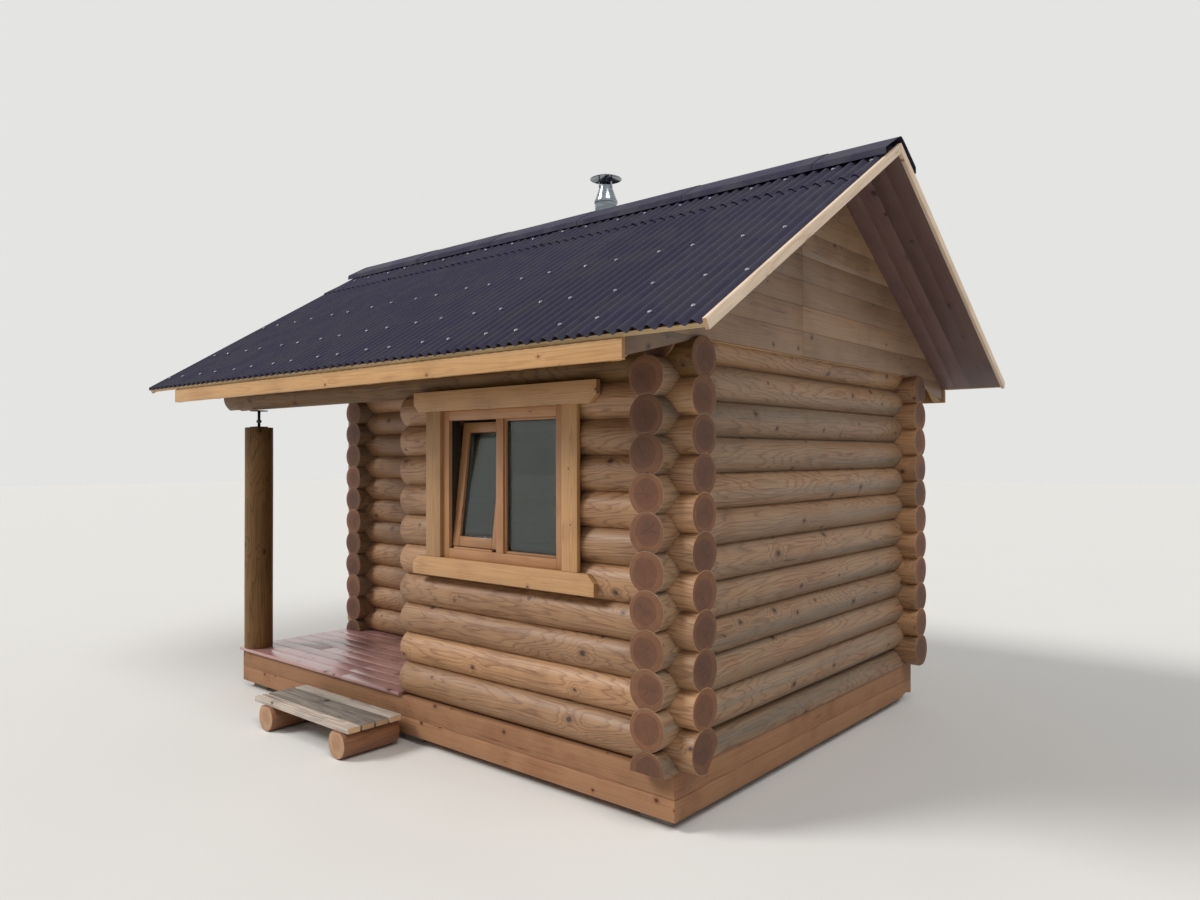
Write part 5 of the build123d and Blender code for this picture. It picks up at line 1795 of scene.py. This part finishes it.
@dataclass
class Roofing(Assembly):
    """Corrugated sheets in two lapped rows a slope, their capped nails and the lapped ridge cap."""

    lines: RoofLines = field(default_factory=RoofLines)
    waves: int = 69
    wave_height: float = 24.5 * MM
    thickness: float = 2.6 * MM
    overhang: float = 22 * MM
    sheet: float = 2.0
    lap: float = 170 * MM
    lap_flare: float = 6 * MM
    sag: float = 0.6 * MM
    station: float = 0.2
    ridge_gap: float = 30 * MM
    waves_a_sheet: int = 12
    samples: int = 10
    hole_radius: float = 112 * MM
    nail_rows: tuple[float, ...] = (155 * MM, 527 * MM, 1078 * MM, 2090 * MM)
    cap_run: float = 224 * MM
    cap_drop: float = 128 * MM
    cap_flare: float = 4.5 * MM
    cap_round: float = 7.5 * MM
    cap_piece: float = 1.06
    cap_lap: float = 120 * MM

    def __post_init__(self) -> None:
        """Reads the sheets' span and works out the wave and the laps."""
        super().__post_init__()
        box = node_box("front_roof_sheets")
        self.left, self.right = box.low[0], box.high[0]
        self.wave = (self.right - self.left) / self.waves
        self.eave = self.lines.slope_length + self.overhang
        self.lap_line = self.eave - self.sheet
        self.lift = self.thickness + 0.2 * MM

    def corrugation(self, x: np.ndarray) -> np.ndarray:
        """Height of the waves: half the wave height times one less the cosine, a little flattened."""
        turn = (x - self.left) / self.wave * math.tau
        return self.wave_height / 2 * (1 - np.cos(turn) * (1 + 0.1 * np.sin(turn) ** 2))

    def over_lap(self, waves: np.ndarray) -> np.ndarray:
        """Rise of a sheet over its neighbour: whole over the lapped wave, gone two waves further."""
        return self.lift * np.clip((3 - waves) / 2, 0, 1)

    def strip(
        self, shell: Shell, slope: Slope, first: int, down: np.ndarray, upper: bool, pipe: Box | None
    ) -> None:
        """One sheet.

        Args:
            shell: the piece to add to.
            slope: the slope.
            first: the wave that it starts at.
            down: the stations along the slope.
            upper: whether it lies on the lower row.
            pipe: the chimney pipe that goes through it.
        """
        last = min(first + self.waves_a_sheet + 1, self.waves)
        count = np.linspace(first, last, (last - first) * self.samples + 1)
        x = (self.left + count * self.wave)[:, None]
        own = self.over_lap(count - first)[:, None] * (first > 0)
        since = count % self.waves_a_sheet
        drape = self.over_lap(since)[:, None] * (count >= self.waves_a_sheet)[:, None] + self.lift
        uneven = self.sag * (1 + np.sin(down[None] * 5.3) * np.sin(x * 2.2))
        flare = np.clip((down - down[-1]) / self.lap + 1, 0, 1) ** 2 * self.lap_flare * upper
        height = self.corrugation(x) + own + drape * upper + uneven + flare[None]
        keep = np.ones((len(x) - 1, len(down) - 1), bool)
        if pipe is not None:
            middle_x = (x[1:] + x[:-1]) / 2 - pipe.middle[0]
            run = (down[1:] + down[:-1]) / 2 * PITCH_COSINE - pipe.middle[1]
            keep = np.hypot(middle_x, run[None]) > self.hole_radius
        place = Place.down_slope(slope, 0, self.lines.apex, 0)
        top = place.points(-slope.value * x, height + self.thickness, down[None])
        bottom = place.points(-slope.value * x, height, down[None])
        order = slice(None, None, slope.value)
        shell.slab(top[:, order], bottom[:, order], self.random.uniform(), keep[:, order])

    def rows(self, node: str, slope: Slope, pipe: Box | None) -> None:
        """Both rows of sheets on a slope.

        Args:
            node: the CAD node that they replace.
            slope: the slope.
            pipe: the chimney pipe that goes through them.
        """
        shell = Shell(node.replace("roof", "bitumen"))
        spans = ((self.lap_line, self.eave), (self.ridge_gap, self.lap_line + self.lap))
        for upper, (start, end) in enumerate(spans):
            for first in range(0, self.waves, self.waves_a_sheet):
                far = end - self.random.uniform(1 * MM, 4 * MM)
                down = np.linspace(start, far, max(4, int((end - start) / self.station)))
                if pipe is not None:
                    # Stations every 10 mm round the pipe, for the hole.
                    near = np.arange(-130, 131, 10) * MM + pipe.middle[1] / PITCH_COSINE
                    down = np.unique(np.concatenate((down, near[(near > start) & (near < far)])))
                self.strip(shell, slope, first, down, bool(upper), pipe)
        shell.build("roof_sheet", self.palette.of(BITUMEN), node)

    def nails(self) -> None:
        """Domed caps on the crests: in each row the steps are three and four waves in turn."""
        shell = Shell("nail_caps")
        # A flanged dome, 23 mm wide and 7 mm high, as radii and heights.
        profile = np.array(((11.5, -1), (11.5, 1.5), (9, 4.5), (4.5, 6.4), (0.4, 6.8))) * MM
        crests = np.arange(1, self.waves, 3.5).astype(int)
        for slope in Slope:
            for number, up in enumerate(self.nail_rows):
                for crest in crests + number % 2:
                    count = crest + 0.5
                    down = self.eave - up + self.random.uniform(-12, 12) * MM
                    upper = down < self.lap_line + self.lap
                    lapped = self.over_lap(count % self.waves_a_sheet)
                    lift = lapped * (count > self.waves_a_sheet) * (2 if upper else 1) + self.lift * upper
                    depth = -(self.wave_height + self.thickness + lift + 0.6 * MM)
                    x = self.left + count * self.wave
                    base = Place.down_slope(slope, x, self.lines.apex, depth)
                    shell.turn(base.outwards(down), profile, 10)
        # The caps' pale grey lilac paints their glint over a darker plum.
        shell.build("roof_sheet", self.palette.of(NAIL_CAP))

    def ridge(self) -> None:
        """The ridge cap: folded strips with turned-down lips, each lapped over the next."""
        box = node_box("ridge_cap")
        shell = Shell("ridge_cap_strips")
        apex = box.high[2] - self.cap_round
        edge, lip = apex - self.cap_drop, self.cap_run + self.cap_flare
        # Half a section from the fold to the lip: level runs, the plain heights over them, and
        # how far the rounded fold and the lip's bend drop from those.
        runs = np.array((0, 12, 30, 60, 110, 165, 205, 219, 224, 225.5, 227, 228.5)) * MM
        heights = np.interp(runs, (0.0, self.cap_run, lip), (apex, edge, box.low[2]))
        heights -= np.array((7, 5, 1.2, 0, 0, 0, 0, 0, 1.5, 0, 0, 0)) * MM
        wings = np.concatenate((-runs[:0:-1], runs))
        section = np.stack((wings, np.concatenate((heights[:0:-1], heights))), axis=-1)
        slide = np.gradient(section, axis=0)
        normal = np.stack((-slide[:, 1], slide[:, 0]), axis=-1)
        normal /= np.linalg.norm(normal, axis=1, keepdims=True)
        rise = np.concatenate((np.zeros((len(wings), 1)), normal * self.thickness), axis=1)
        step = self.cap_piece - self.cap_lap
        count = math.ceil((box.high[0] - box.low[0] - self.cap_lap) / step)
        for index in range(count):
            left = box.low[0] + index * step
            x = np.linspace(left, min(left + self.cap_piece, box.high[0]), 8)
            over = np.minimum((x - left) / step, 1) * (self.thickness * 1.25) * (index < count - 1)
            flat = section[None] + over[:, None, None] * normal[None]
            flat[..., 1] += (0.5 * MM * np.sin(x * 6.0))[:, None]
            across = np.broadcast_to(x[:, None], flat.shape[:2])
            bottom = np.stack((across, flat[..., 0], flat[..., 1]), axis=-1)
            shell.slab(bottom + rise[None], bottom, self.random.uniform())
        shell.build("roof_sheet", self.palette.of(BITUMEN), "ridge_cap")

    def build(self) -> None:
        """Builds the roofing."""
        self.rows("front_roof_sheets", Slope.FRONT, None)
        self.rows("back_roof_sheets", Slope.BACK, node_box("chimney_pipe"))
        self.nails()
        self.ridge()


@dataclass
class Chimney(Assembly):
    """A polished pipe with a band and a cone, a rain cowl on three struts and the roof plate."""

    lines: RoofLines = field(default_factory=RoofLines)
    radius: float = 90 * MM
    wall: float = 2 * MM
    band: float = 24 * MM
    band_step: float = 6 * MM
    spigot_radius: float = 56 * MM
    spigot: float = 22 * MM
    cone: float = 99 * MM
    cowl_height: float = 50 * MM
    struts: int = 3
    strut_width: float = 18 * MM
    strut_foot: float = 18 * MM
    crest: float = 34 * MM
    rivet_reach: float = 1.4 * MM
    plate: float = 380 * MM
    sheet: float = 3 * MM
    strut: float = 3 * MM
    sides: int = 72
    plate_sides: int = 64

    def pipe(self) -> None:
        """The pipe, its band, the cone and the spigot, as one thin-walled profile."""
        box = node_box("chimney_pipe")
        low, high = box.low[2], box.high[2]
        cone_top = high - self.spigot
        cone_low = cone_top - self.cone
        band = cone_low - self.band
        r, s, w, b = self.radius, self.spigot_radius, self.wall, self.radius + self.band_step
        outer = [(r, low), (r, band), (b - 1.5 * MM, band), (b, band + 1.5 * MM), (b, cone_low - 8 * MM)]
        outer += [(b - 2 * MM, cone_low - 1.5 * MM), (r, cone_low), (s, cone_top)]
        outer += [(s, high - 2 * MM), (s - 0.5 * MM, high)]
        inner = [(s - w, high), (s - w, cone_top), (r - w, cone_low), (r - w, low)]
        shell = Shell("flue_pipe")
        shell.turn(Place.through(Along.Z, box), outer + inner, self.sides, True)
        shell.build("stainless_steel", self.palette.of(STAINLESS), "chimney_pipe")

    def cowl(self) -> None:
        """The cowl's shallow cone with a hemmed rim, and its riveted struts."""
        box = node_box("chimney_cowl")
        top, radius = box.high[2], box.size[0] / 2
        rim = top - self.cowl_height
        up = np.array((0, 0, 1.0))
        place = Place.through(Along.Z, box)
        shell = Shell("rain_cowl")
        # How far each corner of the section lies inside the rim, and over it.
        hem = np.array(((6, 1), (3, -1.2), (0.5, -0.6), (0, 1.2), (4, 4))) * MM
        profile = [(0.4 * MM, top - 3 * MM), *[(radius - inside, rim + over) for inside, over in hem]]
        profile += [(40 * MM, top - 13 * MM), (0.4 * MM, top)]
        shell.turn(place, profile, self.sides)
        foot = node_box("chimney_pipe").high[2] - self.strut_foot
        reach = self.spigot_radius + 1.8 * MM
        end = rim + self.cowl_height * (1 - reach / radius) - 2 * MM
        # A domed rivet head, as radii and heights.
        rivet = np.array(((3.5, 0), (3, 1.2), (1.5, 2), (0.2, 2.2))) * MM
        for index in range(self.struts):
            angle = math.tau * index / self.struts
            out = np.array((math.cos(angle), math.sin(angle), 0))
            side = np.cross(up, out)
            strut = Place(place.origin + out * reach, out, side, up)
            size = (self.strut, self.strut_width)
            shell.board(strut, size, foot, end, self.random, 0.8 * MM, 0.5, (0, 0))
            for height in (foot + 9 * MM, end - 12 * MM):
                centre = place.origin + out * (reach + self.rivet_reach) + up * height
                shell.turn(Place(centre, side, up, out), rivet, 12)
        shell.build("stainless_steel", self.palette.of(STAINLESS), "chimney_cowl")

    def flashing(self) -> None:
        """The square plate over the sheets' crests and the collar round the pipe.

        The plate's rim is half its side over the greater of |cos a| and |sin a|, and its hole
        is the ellipse that the upright pipe cuts out of the slope.
        """
        box, pipe = node_box("chimney_flashing"), node_box("chimney_pipe")
        shell = Shell("pipe_flashing")
        base = Place.down_slope(Slope.BACK, pipe.middle[0], self.lines.apex, -self.crest)
        middle = pipe.middle[1] / PITCH_COSINE - self.crest * PITCH_TANGENT
        angle = np.linspace(0, math.tau, self.plate_sides, endpoint=False)
        cosine, sine = np.cos(angle), np.sin(angle)
        rim = self.plate / 2 / np.maximum(np.abs(cosine), np.abs(sine))
        hole = (self.radius + 1 * MM) / np.hypot(cosine * PITCH_COSINE, sine)
        levels = np.array((0.0, 0.0, -6 * MM, -6 * MM, self.sheet - 1 * MM, self.sheet, self.sheet))
        radii = (hole, rim - 4 * MM, rim - 3 * MM, rim, rim, rim - 1 * MM, hole)
        profile = [np.stack((radius, np.full_like(radius, z)), axis=-1) for radius, z in zip(radii, levels)]
        shell.turn(base.outwards(middle), np.stack(profile), self.plate_sides, True)
        high, low = box.high[2], box.low[2] + 30 * MM
        r = self.radius + FIT
        wall, clamp = r + 2 * MM, r + 4.5 * MM
        collar = [(r, low), (wall, low), (wall, high - 26 * MM), (clamp, high - 24 * MM)]
        collar += [(clamp, high - 10 * MM), (wall, high - 8 * MM), (wall, high), (r, high)]
        shell.turn(Place.through(Along.Z, pipe), collar, self.plate_sides, True)
        shell.build("flashing", self.palette.of(FLASHING), "chimney_flashing")

    def build(self) -> None:
        """Builds the chimney."""
        self.pipe()
        self.cowl()
        self.flashing()


@dataclass
class LogStep(Assembly):
    """Weathered boards on two round log legs."""

    radius: float = 90 * MM
    gap: float = 2.5 * MM
    tones: tuple[float, ...] = (0.95, 0.25, 0.1, 0.85)

    def build(self) -> None:
        """Builds the treads and the legs."""
        treads = Shell("step_boards")
        gap = np.array((0, self.gap, 0))
        for box, tone in zip(self.solids("step_treads"), self.tones):
            self.straight(treads, Box(box.low + gap, box.high - gap), self.edge, tone)
        treads.build("weathered_wood", self.palette.of(WEATHERED_WOOD, PALE_END), "step_treads")
        legs = Shell("round_step_legs")
        for box in self.solids("step_legs"):
            flat = Plane2((0.0, 1.0), box.high[2] - self.radius)
            outline = log_sections(self.radius - 1 * MM, None, [(flat,)], -0.01)[0]
            place = Place.along(Along.Y, (box.middle[0], 0, self.radius))
            ends = Ends(Cut(box.low[1], 0.01), Cut(box.high[1]), 3.5 * MM)
            legs.sweep(place, outline, ends, np.linspace(0, 1, 4), self.random, (0.006, -0.01), 0.4 * MM)
        legs.build("log_wood", self.palette.of(STEP_LOG_WOOD, LEG_END), "step_legs")


@dataclass
class HiddenTimber(Assembly):
    """CAD nodes whose shape is right: they stay and get their finish."""

    def build(self) -> None:
        """Dresses the floor, the roof's timber and the foundation blocks."""
        dressed = {
            "floor_sleeper": SAWN_ALONG,
            "floor_joists": SAWN_ACROSS,
            "room_floor": FLOOR_WOOD,
            "rafters": SAWN_ACROSS,
            "roof_battens": SAWN_ALONG,
            "gable_frames": SAWN_ACROSS,
            "foundation_blocks": CONCRETE,
        }
        for node, finish in dressed.items():
            for slot in self.nodes[node].material_slots:
                slot.material = self.palette.of(finish)[0]
            LOG.info("%s: kept from the frame", node)


@dataclass(frozen=True)
class Lamp:
    """A far lamp: the way that it shines from, its strength and how many degrees wide it is."""

    title: str
    source: Triple
    strength: float
    degrees: float


@dataclass
class Studio:
    """The plain pale floor, the soft light and the camera at the photograph's angle."""

    palette: Palette
    eye: Triple = (4.557, -4.944, 1.828)
    yaw: float = math.radians(-40.43)
    tilt: float = math.radians(0.45)
    roll: float = math.radians(-0.12)
    lens: float = 25.88
    floor_half: float = 60.0
    lamps: tuple[Lamp, ...] = (
        Lamp("key", (-0.5, -0.58, 0.66), 2.1, 20),
        Lamp("side", (0.52, -0.2, 0.84), 1.2, 30),
    )
    lamp_colour: Triple = (1.0, 0.97, 0.93)
    sky: tuple[float, float, float, float] = (0.98, 0.98, 1.0, 1.0)
    sky_strength: float = 0.31
    backdrop: str = "#e4e4e2"

    def camera(self) -> None:
        """Makes the camera: its right, up and backward directions are the columns of its matrix."""
        facing = (math.sin(self.yaw), math.cos(self.yaw))
        forward = np.array((*[part * math.cos(self.tilt) for part in facing], math.sin(self.tilt)))
        level = np.array((facing[1], -facing[0], 0))
        right = level * math.cos(self.roll) + np.cross(level, forward) * math.sin(self.roll)
        matrix = np.eye(4)
        matrix[:3, :4] = np.stack((right, np.cross(right, forward), -forward, self.eye), axis=-1)
        data = bpy.data.cameras.new("camera")
        data.lens = self.lens
        camera = bpy.data.objects.new("camera", data)
        bpy.context.scene.collection.objects.link(camera)
        camera.matrix_world = Matrix(matrix.tolist())
        bpy.context.scene.camera = camera

    def floor(self) -> None:
        """A pale floor that keeps the shadow."""
        half = self.floor_half
        corners = [(-half, -half, 0), (half, -half, 0), (half, half, 0), (-half, half, 0)]
        mesh = bpy.data.meshes.new("pale_floor")
        mesh.from_pydata(corners, [], [(0, 1, 2, 3)])
        mesh.materials.append(self.palette.of(FLOOR)[0])
        floor = bpy.data.objects.new("pale_floor", mesh)
        bpy.context.scene.collection.objects.link(floor)

    def light(self) -> None:
        """A key lamp from the front left, a weaker one from the right and an even, pale sky.

        The camera sees a plain backdrop instead of the sky, straight, mirrored or through glass.
        """
        for lamp in self.lamps:
            sun = bpy.data.lights.new(lamp.title, "SUN")
            sun.energy = lamp.strength
            sun.angle = math.radians(lamp.degrees)
            sun.color = self.lamp_colour
            piece = bpy.data.objects.new(lamp.title, sun)
            bpy.context.scene.collection.objects.link(piece)
            piece.rotation_euler = Vector(lamp.source).to_track_quat("Z", "Y").to_euler()
        world = bpy.data.worlds.new("studio")
        world.use_nodes = True
        world.node_tree.nodes.clear()
        add = partial(add_node, world.node_tree)
        rays = add("LightPath", (), None).outputs
        seen = add("Math", (rays["Is Camera Ray"], rays["Is Glossy Ray"]), operation="ADD")
        seen = add("Math", (seen, rays["Is Transmission Ray"]), operation="ADD", use_clamp=True)
        soft = add("Background", (self.sky, self.sky_strength))
        backdrop = add("Background", (linear(self.backdrop), 1.0))
        add("OutputWorld", (add("MixShader", (seen, soft, backdrop)),), None)
        bpy.context.scene.world = world

    def build(self) -> None:
        """Makes the studio."""
        self.camera()
        self.floor()
        self.light()
        bpy.context.scene.view_settings.view_transform = "Standard"


def main() -> None:
    """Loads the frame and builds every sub-assembly in order."""
    logging.basicConfig(level=logging.INFO, format="%(message)s")
    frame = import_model()
    palette = Palette()
    Studio(palette).build()
    makers = (BaseFrame, LogWalls, Porch, Window, Door, Gables, Roofing, Chimney, LogStep, HiddenTimber)
    for seed, maker in enumerate(makers, start=11):
        LOG.info("%s", maker.__name__)
        maker(frame["nodes"], palette, seed).build()


if __name__ == "__main__":
    main()
